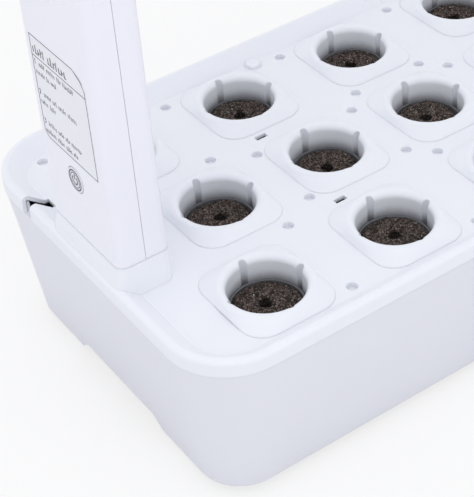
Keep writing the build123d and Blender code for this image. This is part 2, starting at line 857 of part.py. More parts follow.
# Board with its key switch on one side, and connectors, a coil and chips on the other
with BuildPart() as control_board_form:
    with BuildSketch(across(control_x)):
        with Locations((0, control_mid_z)):
            Rectangle(control_width, control_height)
        with Locations(*stake_places):
            Circle(stake_r + press_gap, mode=Mode.SUBTRACT)
    extrude(amount=-control_thickness)
    with BuildSketch(across(control_x)):
        with Locations((0, key_z)):
            RectangleRounded(switch_size, switch_size, switch_plunger_r / 4)
    extrude(amount=switch_thickness)
    with BuildSketch(across(control_x + switch_thickness)):
        with Locations((0, key_z)):
            Circle(switch_plunger_r)
    extrude(amount=switch_plunger)
    for y, rise, width, height, thickness in board_parts:
        with BuildSketch(across(control_x - control_thickness)):
            with Locations((y, control_foot_z + rise)):
                Rectangle(width, height)
        extrude(amount=-thickness)
save(mirror(control_board_form.part, about=Plane.YZ), "control_board")

with BuildPart() as dc_inlet_form:
    with BuildSketch(Plane.XZ.offset(-(jack_y - post_wall))):
        with Locations((jack_x, jack_z)):
            Rectangle(jack_size, jack_size)
    extrude(amount=jack_length)
    with BuildSketch(Plane.XZ.offset(-jack_y)):
        with Locations((jack_x, jack_z)):
            Circle(jack_nose_r)
    extrude(amount=post_wall)
    with BuildSketch(Plane.XZ.offset(-jack_y)):
        with Locations((jack_x, jack_z)):
            Circle(jack_bore_r)
    extrude(amount=jack_bore_depth, mode=Mode.SUBTRACT)
save(mirror(dc_inlet_form.part, about=Plane.YZ), "dc_inlet")

label_foot_z = post_foot_z + label_foot
label_top_z = label_foot_z + label_height
label_half = label_width / 2
with BuildPart() as label_form:
    with BuildSketch(across(post_face_x)):
        with BuildLine():
            Polyline(
                (-label_half, label_foot_z),
                (label_half, label_foot_z),
                (label_half, label_top_z),
                (label_corner_x - label_half, label_top_z),
                (-label_half, label_top_z - label_corner_z),
                close=True,
            )
        make_face()
    extrude(amount=label_thickness)
save(mirror(label_form.part, about=Plane.YZ), "key_label")

# ---------------------------------------------------------------------------
# Sliding legs and lamp
# ---------------------------------------------------------------------------

leg_top_z = lamp_top_z - lamp_wall
leg_foot_z = collar_top_z - leg_insertion

with BuildPart() as leg_form:
    with BuildSketch(Plane.XY.offset(leg_foot_z)):
        with Locations((leg_x, 0)):
            RectangleRounded(leg_depth, leg_width, leg_corner_r)
            RectangleRounded(
                leg_depth - 2 * leg_wall,
                leg_width - 2 * leg_wall,
                leg_corner_r - leg_wall,
                mode=Mode.SUBTRACT,
            )
    extrude(amount=leg_top_z - leg_foot_z)
    # Slightly wider foot that stops the leg under the collar
    with BuildSketch(Plane.XY.offset(leg_foot_z)):
        with Locations((leg_x, 0)):
            RectangleRounded(leg_depth, leg_width + 2 * leg_foot_proud, leg_corner_r)
            RectangleRounded(
                leg_depth - 2 * leg_wall,
                leg_width - 2 * leg_wall,
                leg_corner_r - leg_wall,
                mode=Mode.SUBTRACT,
            )
    extrude(amount=leg_foot_height)
save(mirror(leg_form.part, about=Plane.YZ), "left_leg")
save(leg_form.part, "right_leg")


def lamp_outline(inset):
    """Plan outline of the lamp, moved in from its edge."""
    return RectangleRounded(
        lamp_length - 2 * inset,
        lamp_width - 2 * inset,
        lamp_corner_r - inset,
    )


lamp_length = 2 * (post_face_x + lamp_overhang)
lamp_window_length = lamp_length - 2 * lamp_window_margin_x
lamp_window_width = lamp_width - 2 * lamp_window_margin_y
leg_socket_depth = leg_depth + 2 * press_gap
leg_socket_width = leg_width + 2 * press_gap
lamp_screw_spread = lamp_length - 2 * lamp_screw_end
lamp_screw_spots = [
    (lamp_screw_spread * (i / (lamp_screw_count_x - 1) - 0.5), sy * (lamp_width / 2 - lamp_screw_margin))
    for i in range(lamp_screw_count_x)
    for sy in (-1, 1)
]
sill_top_z = lamp_under_z + lamp_sill
diffuser_top_z = sill_top_z + diffuser_thickness
led_board_z = diffuser_top_z + board_lift
board_length = lamp_window_length - 2 * board_margin
board_width = lamp_window_width - 2 * board_margin
led_pitch_x = (board_length - 2 * led_margin_x) / (led_columns - 1)
led_pitch_y = (board_width - 2 * led_margin_y) / (led_rows - 1)
board_post_spots = [
    (sx * (board_length / 2 - board_post_r), sy * (board_width / 2 - board_post_r))
    for sx in (-1, 0, 1)
    for sy in (-1, 1)
]
cover_under_z = lamp_top_z - lamp_wall

with BuildPart() as lamp_frame:
    with BuildSketch(Plane.XY.offset(lamp_under_z)):
        lamp_outline(0)
    extrude(amount=lamp_frame_height)
    fillet(lamp_frame.edges().group_by(Axis.Z)[0], lamp_frame_round)
    # Window with a sill that carries the diffuser
    with BuildSketch(Plane.XY.offset(lamp_under_z)):
        RectangleRounded(
            lamp_window_length - 2 * lamp_sill_width,
            lamp_window_width - 2 * lamp_sill_width,
            lamp_window_r - lamp_sill_width,
        )
    extrude(amount=lamp_sill, mode=Mode.SUBTRACT)
    with BuildSketch(Plane.XY.offset(sill_top_z)):
        RectangleRounded(lamp_window_length, lamp_window_width, lamp_window_r)
    extrude(amount=lamp_joint_z - sill_top_z, mode=Mode.SUBTRACT)
    # Hollow between the outer wall, the window's wall, the leg sockets and the screw bosses
    with BuildSketch(Plane.XY.offset(lamp_under_z + lamp_wall)):
        lamp_outline(lamp_wall)
        RectangleRounded(
            lamp_window_length + 2 * lamp_wall,
            lamp_window_width + 2 * lamp_wall,
            lamp_window_r + lamp_wall,
            mode=Mode.SUBTRACT,
        )
        for side in (-1, 1):
            with Locations((side * leg_x, 0)):
                Rectangle(
                    leg_socket_depth + 2 * lamp_wall,
                    leg_socket_width + 2 * lamp_wall,
                    mode=Mode.SUBTRACT,
                )
        with Locations(*lamp_screw_spots):
            Circle(lamp_boss_r, mode=Mode.SUBTRACT)
    extrude(amount=lamp_frame_height - lamp_wall, mode=Mode.SUBTRACT)
    # Sockets of the legs and holes of the screws
    with BuildSketch(Plane.XY.offset(lamp_under_z)):
        for side in (-1, 1):
            with Locations((side * leg_x, 0)):
                RectangleRounded(leg_socket_depth, leg_socket_width, leg_corner_r + press_gap)
        with Locations(*lamp_screw_spots):
            Circle(screw_clear_r)
    extrude(amount=lamp_frame_height, mode=Mode.SUBTRACT)
    with BuildSketch(Plane.XY.offset(lamp_under_z)):
        with Locations(*lamp_screw_spots):
            Circle(screw_recess_r)
    extrude(amount=screw_recess_depth, mode=Mode.SUBTRACT)
save(lamp_frame.part, "lamp_frame")

with BuildPart() as lamp_cover:
    with BuildSketch(Plane.XY.offset(lamp_joint_z)):
        lamp_outline(0)
    extrude(amount=lamp_top_z - lamp_joint_z)
    fillet(lamp_cover.edges().group_by(Axis.Z)[-1], lamp_round)
    # Hollow, narrower near the rounded top edge
    with BuildSketch(Plane.XY.offset(lamp_joint_z)):
        lamp_outline(lamp_wall)
    extrude(amount=cover_under_z - lamp_joint_z - lamp_wall, mode=Mode.SUBTRACT)
    with BuildSketch(Plane.XY.offset(lamp_joint_z)):
        lamp_outline(lamp_round)
    extrude(amount=cover_under_z - lamp_joint_z, mode=Mode.SUBTRACT)
    # Screw bosses and the posts that hold the LED board
    with BuildSketch(Plane.XY.offset(lamp_joint_z)):
        with Locations(*lamp_screw_spots):
            Circle(screw_boss_r)
    extrude(amount=cover_under_z - lamp_joint_z)
    with BuildSketch(Plane.XY.offset(lamp_joint_z)):
        with Locations(*lamp_screw_spots):
            Circle(screw_pilot_r + press_gap)
    extrude(amount=screw_reach, mode=Mode.SUBTRACT)
    with BuildSketch(Plane.XY.offset(led_board_z + board_thickness)):
        with Locations(*board_post_spots):
            Circle(board_post_r)
    extrude(amount=cover_under_z - led_board_z - board_thickness)
save(lamp_cover.part, "lamp_cover")

with BuildPart() as lamp_diffuser:
    with BuildSketch(Plane.XY.offset(sill_top_z)):
        RectangleRounded(
            lamp_window_length - 2 * fit_gap,
            lamp_window_width - 2 * fit_gap,
            lamp_window_r - fit_gap,
        )
    extrude(amount=diffuser_thickness)
save(lamp_diffuser.part, "lamp_diffuser")

with BuildPart() as led_board:
    with BuildSketch(Plane.XY.offset(led_board_z)):
        RectangleRounded(board_length, board_width, lamp_window_r - board_margin)
    extrude(amount=board_thickness)
    with BuildSketch(Plane.XY.offset(led_board_z - led_thickness)):
        with GridLocations(led_pitch_x, led_pitch_y, led_columns, led_rows):
            Rectangle(led_size, led_size)
    extrude(amount=led_thickness)
save(led_board.part, "led_board")

lamp_screw_seat_z = lamp_under_z + screw_recess_depth
with BuildPart() as lamp_screws:
    with BuildSketch(Plane.XY.offset(lamp_screw_seat_z)):
        with Locations(*lamp_screw_spots):
            Circle(screw_head_r)
    extrude(amount=-screw_head_height)
    fillet(lamp_screws.edges().group_by(Axis.Z)[0], screw_head_height / 3)
    with BuildSketch(Plane.XY.offset(lamp_screw_seat_z)):
        with Locations(*lamp_screw_spots):
            Circle(screw_pilot_r)
    extrude(amount=lamp_frame_height - screw_recess_depth + screw_reach - fit_gap)
save(lamp_screws.part, "lamp_screws")

# ---------------------------------------------------------------------------
# Circulation pump
# ---------------------------------------------------------------------------

pump_foot_z = floor_top_z + sucker_height
pump_mid_z = pump_foot_z + pump_height / 2
pump_top_z = pump_foot_z + pump_height
pump_x = pump_gap + (pump_length - deck_length) / 2 + wall_inset(floor_top_z) + tub_wall
pump_face_x = pump_x + pump_length / 2
chamber_floor_x = pump_face_x - chamber_depth
nozzle_x = pump_face_x - chamber_depth / 2
rotor_well_r = rotor_r + fit_gap
rotor_back_x = chamber_floor_x - rotor_length
shaft_back_x = rotor_back_x - shaft_seat
sucker_spots = [
    (pump_x + sx * (pump_length / 2 - sucker_r), sy * (pump_width / 2 - sucker_r))
    for sx in (-1, 1)
    for sy in (-1, 1)
]

with BuildPart() as pump_housing:
    with BuildSketch(Plane.XY.offset(pump_foot_z)):
        with Locations((pump_x, 0)):
            RectangleRounded(pump_length, pump_width, pump_round)
    extrude(amount=pump_height)
    # Impeller chamber, rotor well and the seat of the shaft
    with BuildSketch(across(pump_face_x)):
        with Locations((0, pump_mid_z)):
            Circle(chamber_r)
    extrude(amount=-chamber_depth, mode=Mode.SUBTRACT)
    with BuildSketch(across(chamber_floor_x)):
        with Locations((0, pump_mid_z)):
            Circle(rotor_well_r)
    extrude(amount=-rotor_length, mode=Mode.SUBTRACT)
    with BuildSketch(across(rotor_back_x)):
        with Locations((0, pump_mid_z)):
            Circle(pump_shaft_r)
    extrude(amount=-shaft_seat, mode=Mode.SUBTRACT)
    # Outlet nozzle above the chamber
    with BuildSketch(Plane.XY.offset(pump_top_z)):
        with Locations((nozzle_x, 0)):
            Circle(nozzle_r)
    extrude(amount=nozzle_height)
    with BuildSketch(Plane.XY.offset(pump_mid_z)):
        with Locations((nozzle_x, 0)):
            Circle(nozzle_bore_r)
    extrude(amount=pump_top_z - pump_mid_z + nozzle_height, mode=Mode.SUBTRACT)
    # Sockets of the suction feet
    with BuildSketch(Plane.XY.offset(pump_foot_z)):
        with Locations(*sucker_spots):
            Circle(sucker_neck_r + press_gap)
    extrude(amount=sucker_neck, mode=Mode.SUBTRACT)
save(pump_housing.part, "pump_housing")

with BuildPart() as pump_inlet_cover:
    with BuildSketch(across(pump_face_x)):
        with Locations((0, pump_mid_z)):
            RectangleRounded(pump_width, pump_height, pump_round)
    extrude(amount=pump_cover)
    fillet(pump_inlet_cover.edges().group_by(Axis.X)[-1], pump_cover / 4)
    # Blind seat of the shaft, and the inlet slots beside it
    with BuildSketch(across(pump_face_x)):
        with Locations((0, pump_mid_z)):
            Circle(pump_shaft_r)
    extrude(amount=shaft_seat, mode=Mode.SUBTRACT)
    with BuildSketch(across(pump_face_x)):
        for side in (-1, 1):
            with Locations((side * (inlet_slot_start + inlet_slot_length / 2), pump_mid_z)):
                with GridLocations(0, inlet_slot_pitch, 1, inlet_slots):
                    Rectangle(inlet_slot_length, inlet_slot_width)
    extrude(amount=pump_cover, mode=Mode.SUBTRACT)
save(pump_inlet_cover.part, "pump_inlet_cover")

with BuildPart() as pump_shaft:
    with BuildSketch(across(shaft_back_x)):
        with Locations((0, pump_mid_z)):
            Circle(pump_shaft_r - bearing_gap)
    extrude(amount=pump_face_x + shaft_seat - shaft_back_x)
save(pump_shaft.part, "pump_shaft")

with BuildPart() as pump_impeller:
    with BuildSketch(across(rotor_back_x + fit_gap)):
        with Locations((0, pump_mid_z)):
            Circle(rotor_r)
    extrude(amount=rotor_length + vane_height)
    vane_foot_x = chamber_floor_x + fit_gap
    with BuildSketch(across(vane_foot_x)):
        with Locations((0, pump_mid_z)):
            Circle(vane_r)
    extrude(amount=vane_thickness)
    with BuildSketch(across(vane_foot_x)):
        for turn in range(vane_count):
            with Locations(Location((0, pump_mid_z), 360 * turn / vane_count)):
                with Locations((vane_r / 2, 0)):
                    Rectangle(vane_r, vane_thickness)
    extrude(amount=vane_height)
    with BuildSketch(across(rotor_back_x)):
        with Locations((0, pump_mid_z)):
            Circle(pump_shaft_r)
    extrude(amount=rotor_length + chamber_depth, mode=Mode.SUBTRACT)
save(pump_impeller.part, "pump_impeller")

with BuildPart() as pump_suction_feet:
    with BuildSketch(Plane.XY.offset(floor_top_z)):
        with Locations(*sucker_spots):
            Circle(sucker_r)
    extrude(amount=sucker_height)
    with BuildSketch(Plane.XY.offset(pump_foot_z)):
        with Locations(*sucker_spots):
            Circle(sucker_neck_r)
    extrude(amount=sucker_neck - press_gap)
save(pump_suction_feet.part, "pump_suction_feet")
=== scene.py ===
"""Dresses the countertop hydroponic garden: plastics, peat, print, screws, lamp, pump and stage."""

import math
import random

import bmesh
import bpy
from bpy.props import FloatProperty, FloatVectorProperty, IntProperty, PointerProperty
from mathutils import Matrix, Vector, noise


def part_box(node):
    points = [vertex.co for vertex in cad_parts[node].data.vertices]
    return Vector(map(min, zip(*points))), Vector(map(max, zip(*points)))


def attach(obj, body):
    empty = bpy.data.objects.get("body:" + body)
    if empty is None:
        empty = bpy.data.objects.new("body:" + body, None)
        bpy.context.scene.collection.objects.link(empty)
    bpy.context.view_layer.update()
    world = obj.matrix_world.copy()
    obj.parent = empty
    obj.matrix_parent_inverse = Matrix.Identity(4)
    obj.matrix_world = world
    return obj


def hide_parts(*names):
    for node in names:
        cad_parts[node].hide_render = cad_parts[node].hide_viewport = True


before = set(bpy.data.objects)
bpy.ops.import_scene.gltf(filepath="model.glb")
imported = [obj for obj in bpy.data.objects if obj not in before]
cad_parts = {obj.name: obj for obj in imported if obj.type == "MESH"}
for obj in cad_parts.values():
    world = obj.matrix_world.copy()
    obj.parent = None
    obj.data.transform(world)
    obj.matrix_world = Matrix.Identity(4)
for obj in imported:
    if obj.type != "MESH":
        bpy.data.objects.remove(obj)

bl_info = {
    "name": "Countertop Garden Dresser",
    "version": (1, 0, 0),
    "blender": (4, 5, 0),
    "location": "View3D > Sidebar > Garden",
    "description": "Builds the finishes and fine pieces of a countertop hydroponic garden",
    "category": "Object",
}

MM = 0.001

# Numbers of the wells, as the frame writes them
WELLS = [f"{number:02d}" for number in range(1, 16)]

# How far the wells reach past the baskets, and where the painted shade on their walls is full
# and ends, from the soil up
WELL_MARGIN = 7 * MM
WELL_SHADE_FULL = -4 * MM
WELL_SHADE_END = 5 * MM

# Stain from the peat and painted shade on a basket, below its rim
STAIN_AND_SHADE_START = 7.5 * MM
STAIN_AND_SHADE_FULL = 1 * MM

# Where one finish ends and the next begins on the boards and the impeller
CHANGE = 0.1 * MM
LED_HEIGHT = 0.8 * MM
PARTS_DEPTH = 2.2 * MM
SOCKETS_HEIGHT = 24.75 * MM
VANES_DEPTH = 5.6 * MM

# Screws: the head's side from the top down, as shares of its radius and height; the thread's
# root and the tip, as shares of the shank
HEAD_PROFILE = ((0.86, 0.88), (0.97, 0.70), (1.0, 0.48), (1.0, 0.0))
THREAD_ROOT = 0.86
SCREW_TIP = 0.6
SCREW_STEPS = 24
THREAD_TURNS = 14

# Contacts of the inlet: their distance from its mouth, and the sleeve's wall and gap to the bore
CONTACT_SETBACK = 1.2 * MM
SLEEVE_WALL = 0.3 * MM
SLEEVE_GAP = 0.05 * MM

# Straight strokes of the numerals, in half heights
NUMERALS = {
    1: [[(0.5, 2.0), (0.5, 0.0)], [(0.5, 2.0), (0.15, 1.6)]],
    2: [[(0.0, 1.7), (0.25, 2.0), (0.75, 2.0), (1.0, 1.6), (1.0, 1.25), (0.0, 0.0), (1.0, 0.0)]],
    3: [[(0.0, 2.0), (1.0, 2.0), (0.45, 1.15), (1.0, 0.85), (1.0, 0.3), (0.7, 0.0), (0.0, 0.0)]],
}

# Letters of the stand-in words: the heading, and the two lines of each item
HEADING_WORDS = (5, 7)
ITEM_WORDS = (((4, 6, 3, 7), (6, 2, 4)), ((5, 3, 5, 6), (5, 4)), ((6, 4, 3, 7), (7, 5, 4, 3)))

# Sponges: steps of the lathe, rings across the crown, and the depths below the top of the plain
# part, the crown and the seed hole; how far that hole drifts, and how far round it peat goes along
SPONGE_STEPS = 112
CROWN_RINGS = 30
PLAIN_DEPTH = 0.0084
CROWN_DEPTH = 0.0078
CROWN_RIM = 0.002
HOLE_DEPTH = 0.0085
HOLE_DRIFT = 0.0012
HOLE_REACH = 0.006

# Materials of a sponge, by their place in its list
# The third material is a darker copy of the peat, painted shade in the seed hole
SPECK, HOLE_SHADE = 1, 2

WHITE = (1.0, 1.0, 1.0, 1.0)

# Sockets of the Mix node when it mixes colours: their names repeat, so they go by number
MIX_FACTOR, MIX_FIRST, MIX_SECOND, MIX_RESULT = 0, 6, 7, 2


# ---- Shader writing ----


class Wire:
    """A shader socket that takes part in arithmetic."""

    def __init__(self, paint, socket):
        self.paint = paint
        self.socket = socket

    def out(self, name):
        """Another output of the same node."""
        return Wire(self.paint, self.socket.node.outputs[name])

    def math(self, operation, *values):
        return self.paint.node("ShaderNodeMath", {"operation": operation}, dict(enumerate(values)))

    def __add__(self, other):
        return self.math("ADD", self, other)

    __radd__ = __add__

    def __mul__(self, other):
        return self.math("MULTIPLY", self, other)

    __rmul__ = __mul__

    def __sub__(self, other):
        return self.math("SUBTRACT", self, other)

    def __rsub__(self, other):
        return self.math("SUBTRACT", other, self)

    def __lt__(self, other):
        return self.math("LESS_THAN", self, other)

    def __abs__(self):
        return self.math("ABSOLUTE", self)

    def step(self, low, high):
        """0 below low, 1 above high, smooth between."""
        return self.paint.node(
            "ShaderNodeMapRange",
            {"interpolation_type": "SMOOTHSTEP"},
            {"Value": self, "From Min": low, "From Max": high},
        )


def rgba(value):
    """A colour with its alpha; links and plain numbers pass through."""
    return (*value, 1.0) if isinstance(value, tuple) and len(value) == 3 else value


class Paint:
    """A material, or the world, under construction."""

    def __init__(self, name, world=False):
        self.owner = (bpy.data.worlds if world else bpy.data.materials).new(name)
        self.owner.use_nodes = True
        self.tree = self.owner.node_tree
        self.tree.nodes.clear()

    def node(self, kind, settings=None, sockets=None, out=0):
        made = self.tree.nodes.new(kind)
        for key, value in (settings or {}).items():
            setattr(made, key, value)
        for key, value in (sockets or {}).items():
            if isinstance(value, Wire):
                self.tree.links.new(value.socket, made.inputs[key])
            else:
                made.inputs[key].default_value = value
        return Wire(self, made.outputs[out]) if made.outputs else None

    def place(self, scale=(1.0, 1.0, 1.0)):
        """The point being shaded, in metres, stretched along the axes."""
        spot = self.node("ShaderNodeTexCoord", out="Object")
        return self.node("ShaderNodeMapping", sockets={"Vector": spot, "Scale": scale})

    def axes(self, vector):
        """The three parts of a vector."""
        split = self.node("ShaderNodeSeparateXYZ", sockets={"Vector": vector})
        return [split.out(axis) for axis in "XYZ"]

    def cloud(self, vector, scale, detail=2.0, rough=0.5):
        sockets = {"Vector": vector, "Scale": scale, "Detail": detail, "Roughness": rough}
        return self.node("ShaderNodeTexNoise", sockets=sockets)

    def cells(self, vector, scale, feature="F1", out="Distance"):
        sockets = {"Vector": vector, "Scale": scale}
        return self.node("ShaderNodeTexVoronoi", {"feature": feature}, sockets, out)

    def blend(self, factor, first, second):
        """The first colour, turned into the second by a factor."""
        sockets = {MIX_FACTOR: factor, MIX_FIRST: rgba(first), MIX_SECOND: rgba(second)}
        return self.node("ShaderNodeMix", {"data_type": "RGBA"}, sockets, MIX_RESULT)

    def soft_edges(self, radius):
        """Normal with edges rounded over by a radius in millimetres."""
        return self.node("ShaderNodeBevel", {"samples": 4}, {"Radius": radius * MM}, "Normal")

    def bump(self, height, depth, strength=1.0, normal=None):
        """Normal of a relief whose full height is a depth in millimetres."""
        sockets = {"Height": height, "Distance": depth * MM, "Strength": strength}
        if normal is not None:
            sockets["Normal"] = normal
        return self.node("ShaderNodeBump", sockets=sockets, out="Normal")

    def finish(self, **sockets):
        """Ends in a Principled surface. Colours are plain triples."""
        named = {key.replace("_", " "): rgba(value) for key, value in sockets.items()}
        surface = self.node("ShaderNodeBsdfPrincipled", sockets=named)
        self.node("ShaderNodeOutputMaterial", sockets={"Surface": surface})
        return self.owner


def shade(colour, amount):
    """A colour made darker or lighter by a share."""
    return tuple(max(0.0, min(1.0, part * amount)) for part in colour)


def clouded(paint, broad, colour):
    """Faint cloudy tint of a moulded piece."""
    return paint.blend(broad.step(0.35, 0.65), shade(colour, 0.994), shade(colour, 1.004))


def moulded_plastic(name, colour, roughness, grain, edge):
    """Moulded plastic: faint cloudy tint, spark-eroded grain, softened edges."""
    paint = Paint(name)
    spot = paint.place()
    broad = paint.cloud(spot, 9.0, 3.0)
    middle = paint.cloud(spot, 60.0)
    fine = paint.cloud(spot, 2400.0)
    return paint.finish(
        Base_Color=clouded(paint, broad, colour),
        Roughness=roughness - 0.05 + 0.06 * middle + 0.05 * fine,
        Normal=paint.bump(fine, grain, normal=paint.soft_edges(edge)),
        IOR=1.46,
    )


def well_plastic(name, colour, dust_and_shade):
    """Deck plastic with painted shade on the walls of the wells, darker towards the soil."""
    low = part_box("grow_basket_01")[0]
    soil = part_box("grow_sponge_01")[1].z
    paint = Paint(name)
    spot = paint.place()
    x, y, z = paint.axes(spot)
    broad = paint.cloud(spot, 9.0, 3.0)
    ragged = paint.cloud(spot, 260.0, 3.0, 0.6)
    fine = paint.cloud(spot, 2400.0)
    among_wells = (abs(x) < WELL_MARGIN - low.x) * (abs(y) < WELL_MARGIN - low.y)
    level = z + 1.6 * MM * (ragged - 0.5)
    # Painted shade: the walls of the wells darken towards the soil
    painted_shade = among_wells * (1.0 - level.step(soil + WELL_SHADE_FULL, soil + WELL_SHADE_END))
    return paint.finish(
        Base_Color=paint.blend(painted_shade, clouded(paint, broad, colour), dust_and_shade),
        Roughness=0.31 + 0.05 * broad + 0.05 * fine + 0.3 * painted_shade,
        Normal=paint.bump(fine, 0.008, normal=paint.soft_edges(0.8)),
        IOR=1.46,
    )


def basket_plastic(name, colour, dust_and_shade):
    """Basket plastic, darkened at its rim by a stain from the peat and by painted shade."""
    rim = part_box("grow_basket_01")[1].z
    paint = Paint(name)
    spot = paint.place()
    ragged = paint.cloud(spot, 420.0, 3.0, 0.6)
    fine = paint.cloud(spot, 2200.0)
    level = paint.axes(spot)[2] + 3.0 * MM * (ragged - 0.5)
    # Stain from the peat and painted shade, darkest just below the rim
    stain_and_shade = 0.9 * level.step(rim - STAIN_AND_SHADE_START, rim - STAIN_AND_SHADE_FULL)
    return paint.finish(
        Base_Color=paint.blend(stain_and_shade, colour, shade(dust_and_shade, 0.4)),
        Roughness=0.46 + 0.06 * fine + 0.25 * stain_and_shade,
        Normal=paint.bump(fine, 0.02, normal=paint.soft_edges(0.2)),
        IOR=1.46,
    )


def dress(material, *nodes):
    """Gives nodes of the frame their material."""
    for node in nodes:
        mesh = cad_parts[node].data
        mesh.materials.clear()
        mesh.materials.append(material)


def finished(name, bm, body, materials, stands_for=(), smooth=False):
    """Ends a new piece: mesh, materials, the nodes of the frame it stands for, which it hides, and
    the body it rides on.
    """
    mesh = bpy.data.meshes.new(name)
    bm.normal_update()
    bm.to_mesh(mesh)
    bm.free()
    for material in materials:
        mesh.materials.append(material)
    for polygon in mesh.polygons:
        polygon.use_smooth = smooth
    piece = bpy.data.objects.new(name, mesh)
    bpy.context.scene.collection.objects.link(piece)
    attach(piece, body)
    if stands_for:
        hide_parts(*stands_for)


def lathe(bm, section, steps):
    """Turns a section of radius and height about the Z axis."""
    verts = [bm.verts.new((radius, 0.0, height)) for radius, height in section]
    edges = [bm.edges.new(pair) for pair in zip(verts, verts[1:])]
    bmesh.ops.spin(
        bm,
        geom=verts + edges,
        cent=(0, 0, 0),
        axis=(0, 0, 1),
        angle=math.tau,
        steps=steps,
        use_merge=True,
    )
    bmesh.ops.remove_doubles(bm, verts=bm.verts, dist=1e-6)
    bmesh.ops.recalc_face_normals(bm, faces=bm.faces)


# ---- Settings ----


def colour_property(name, description, default):
    return FloatVectorProperty(
        name=name, description=description, subtype="COLOR", min=0.0, max=1.0, default=default
    )


def length_property(name, description, default):
    return FloatProperty(name=name, description=description, default=default, unit="LENGTH")


class GardenPlasticSettings(bpy.types.PropertyGroup):
    """Colours of the moulded pieces."""

    tub: colour_property("Tub", "Colour of the water tub", (0.795, 0.80, 0.86))
    lid: colour_property("Deck", "Colour of the planting deck", (0.86, 0.878, 0.93))
    post: colour_property("Posts", "Colour of the posts and collars", (0.88, 0.882, 0.955))
    lamp: colour_property("Lamp", "Colour of the lamp housing", (0.81, 0.82, 0.865))
    basket: colour_property("Baskets", "Colour of the grow baskets", (0.72, 0.73, 0.76))
    # Colour of the painted shade on the walls of the wells, darkened further on the baskets' rims
    dust_and_shade: colour_property("Well shade", "Colour of the painted shade in the wells beside the peat", (0.26, 0.265, 0.29))
    rubber: colour_property("Feet", "Colour of the rubber feet", (0.60, 0.605, 0.63))
    pump: colour_property("Pump", "Colour of the pump housing", (0.02, 0.02, 0.022))


class GardenPeatSettings(bpy.types.PropertyGroup):
    """Grow sponges of pressed peat."""

    dark: colour_property("Dark peat", "Colour between the grains", (0.034, 0.026, 0.022))
    light: colour_property("Light peat", "Colour of the dry grains", (0.27, 0.208, 0.18))
    grain: length_property("Grain", "Size of the surface grains", 0.0012)
    relief: length_property("Relief", "Height of the surface grains", 0.0007)
    dome: length_property("Dome", "Height of the dome on a sponge", 0.0030)
    ragged: FloatProperty(
        name="Ragged", description="Most of the radius that is broken away", default=0.06
    )
    hole: length_property("Seed hole", "Radius of the seed hole", 0.0037)
    crumbs: IntProperty(name="Crumbs", description="Loose crumbs on a sponge", default=240, min=0)
    specks: IntProperty(name="Specks", description="Pale specks on a sponge", default=5, min=0)


class GardenPrintSettings(bpy.types.PropertyGroup):
    """Printing on the label and the key."""

    ink: colour_property("Ink", "Colour of the print", (0.075, 0.075, 0.09))
    line: length_property("Line", "Width of the frame line", 0.0004)
    proud: length_property("Proud", "Height of the print above the film", 0.00006)
    margin: length_property("Margin", "From the edge of the label to its frame line", 0.0003)
    corner: length_property("Corner", "Length of the frame's cut corner", 0.0095)
    heading: length_property("Heading", "Height of the heading above the divider", 0.0115)
    letter: length_property("Letter", "Height of the small print's marks", 0.0019)
    line_step: length_property("Line step", "From line to line within an item", 0.0055)
    item_step: length_property("Item step", "From item to item", 0.0170)
    key_ring: length_property("Key ring", "Radius of the ring printed on the key", 0.0055)


class GardenFittingSettings(bpy.types.PropertyGroup):
    """Screws and the contacts of the DC inlet."""

    head: length_property("Head", "Radius of a screw's head", 0.00275)
    head_height: length_property("Head height", "Height of a screw's head", 0.0018)
    shank: length_property("Shank", "Radius of a screw's thread", 0.0014)
    arm: length_property("Recess", "Half length of the cross recess", 0.0015)
    bore: length_property("Bore", "Radius of the inlet's bore", 0.00285)
    bore_depth: length_property("Bore depth", "Depth of the inlet's bore", 0.009)
    pin: length_property("Pin", "Radius of the inlet's centre pin", 0.00105)


def angle_property(name, description, degrees):
    default = math.radians(degrees)
    return FloatProperty(name=name, description=description, default=default, subtype="ANGLE")


def place_property(name, description, default):
    return FloatVectorProperty(
        name=name, description=description, subtype="TRANSLATION", size=3, default=default
    )


def power_property(name, description, default):
    return FloatProperty(name=name, description=description, default=default, unit="POWER")


class GardenStageSettings(bpy.types.PropertyGroup):
    """Floor, light and camera."""

    floor: colour_property("Floor", "Colour of the floor", (0.88, 0.88, 0.89))
    floor_glow: FloatProperty(name="Floor glow", description="White in the floor", default=0.72)
    ambient: FloatProperty(name="Ambient", description="Strength of the even light", default=0.96)
    key: power_property("Key", "Power of the lamp above", 5.0)
    key_place: place_property("Key place", "Place of the lamp above", (-0.3, -0.5, 1.9))
    key_size: length_property("Key size", "Side of the lamp above", 1.6)
    fill: power_property("Fill", "Power of the lamp in front", 1.0)
    fill_place: place_property("Fill place", "Place of the lamp in front", (0.5, -2.0, 0.7))
    fill_size: length_property("Fill size", "Side of the lamp in front", 1.2)
    lens: FloatProperty(name="Lens", description="Focal length in millimetres", default=117.5)
    shift: FloatVectorProperty(
        name="Shift", description="Shift of the picture, as a share", size=2, default=(-0.06, -0.08)
    )
    camera: place_property("Camera", "Place of the camera", (-0.4785, -0.57375, 0.62))
    azimuth: angle_property("Azimuth", "Camera's turn to the right of the front", -32.6)
    elevation: angle_property("Elevation", "Camera's angle above the floor", 38.5)
    roll: angle_property("Roll", "Camera's turn about its line of sight", -4.29)


# ---- Moulded pieces of the frame ----


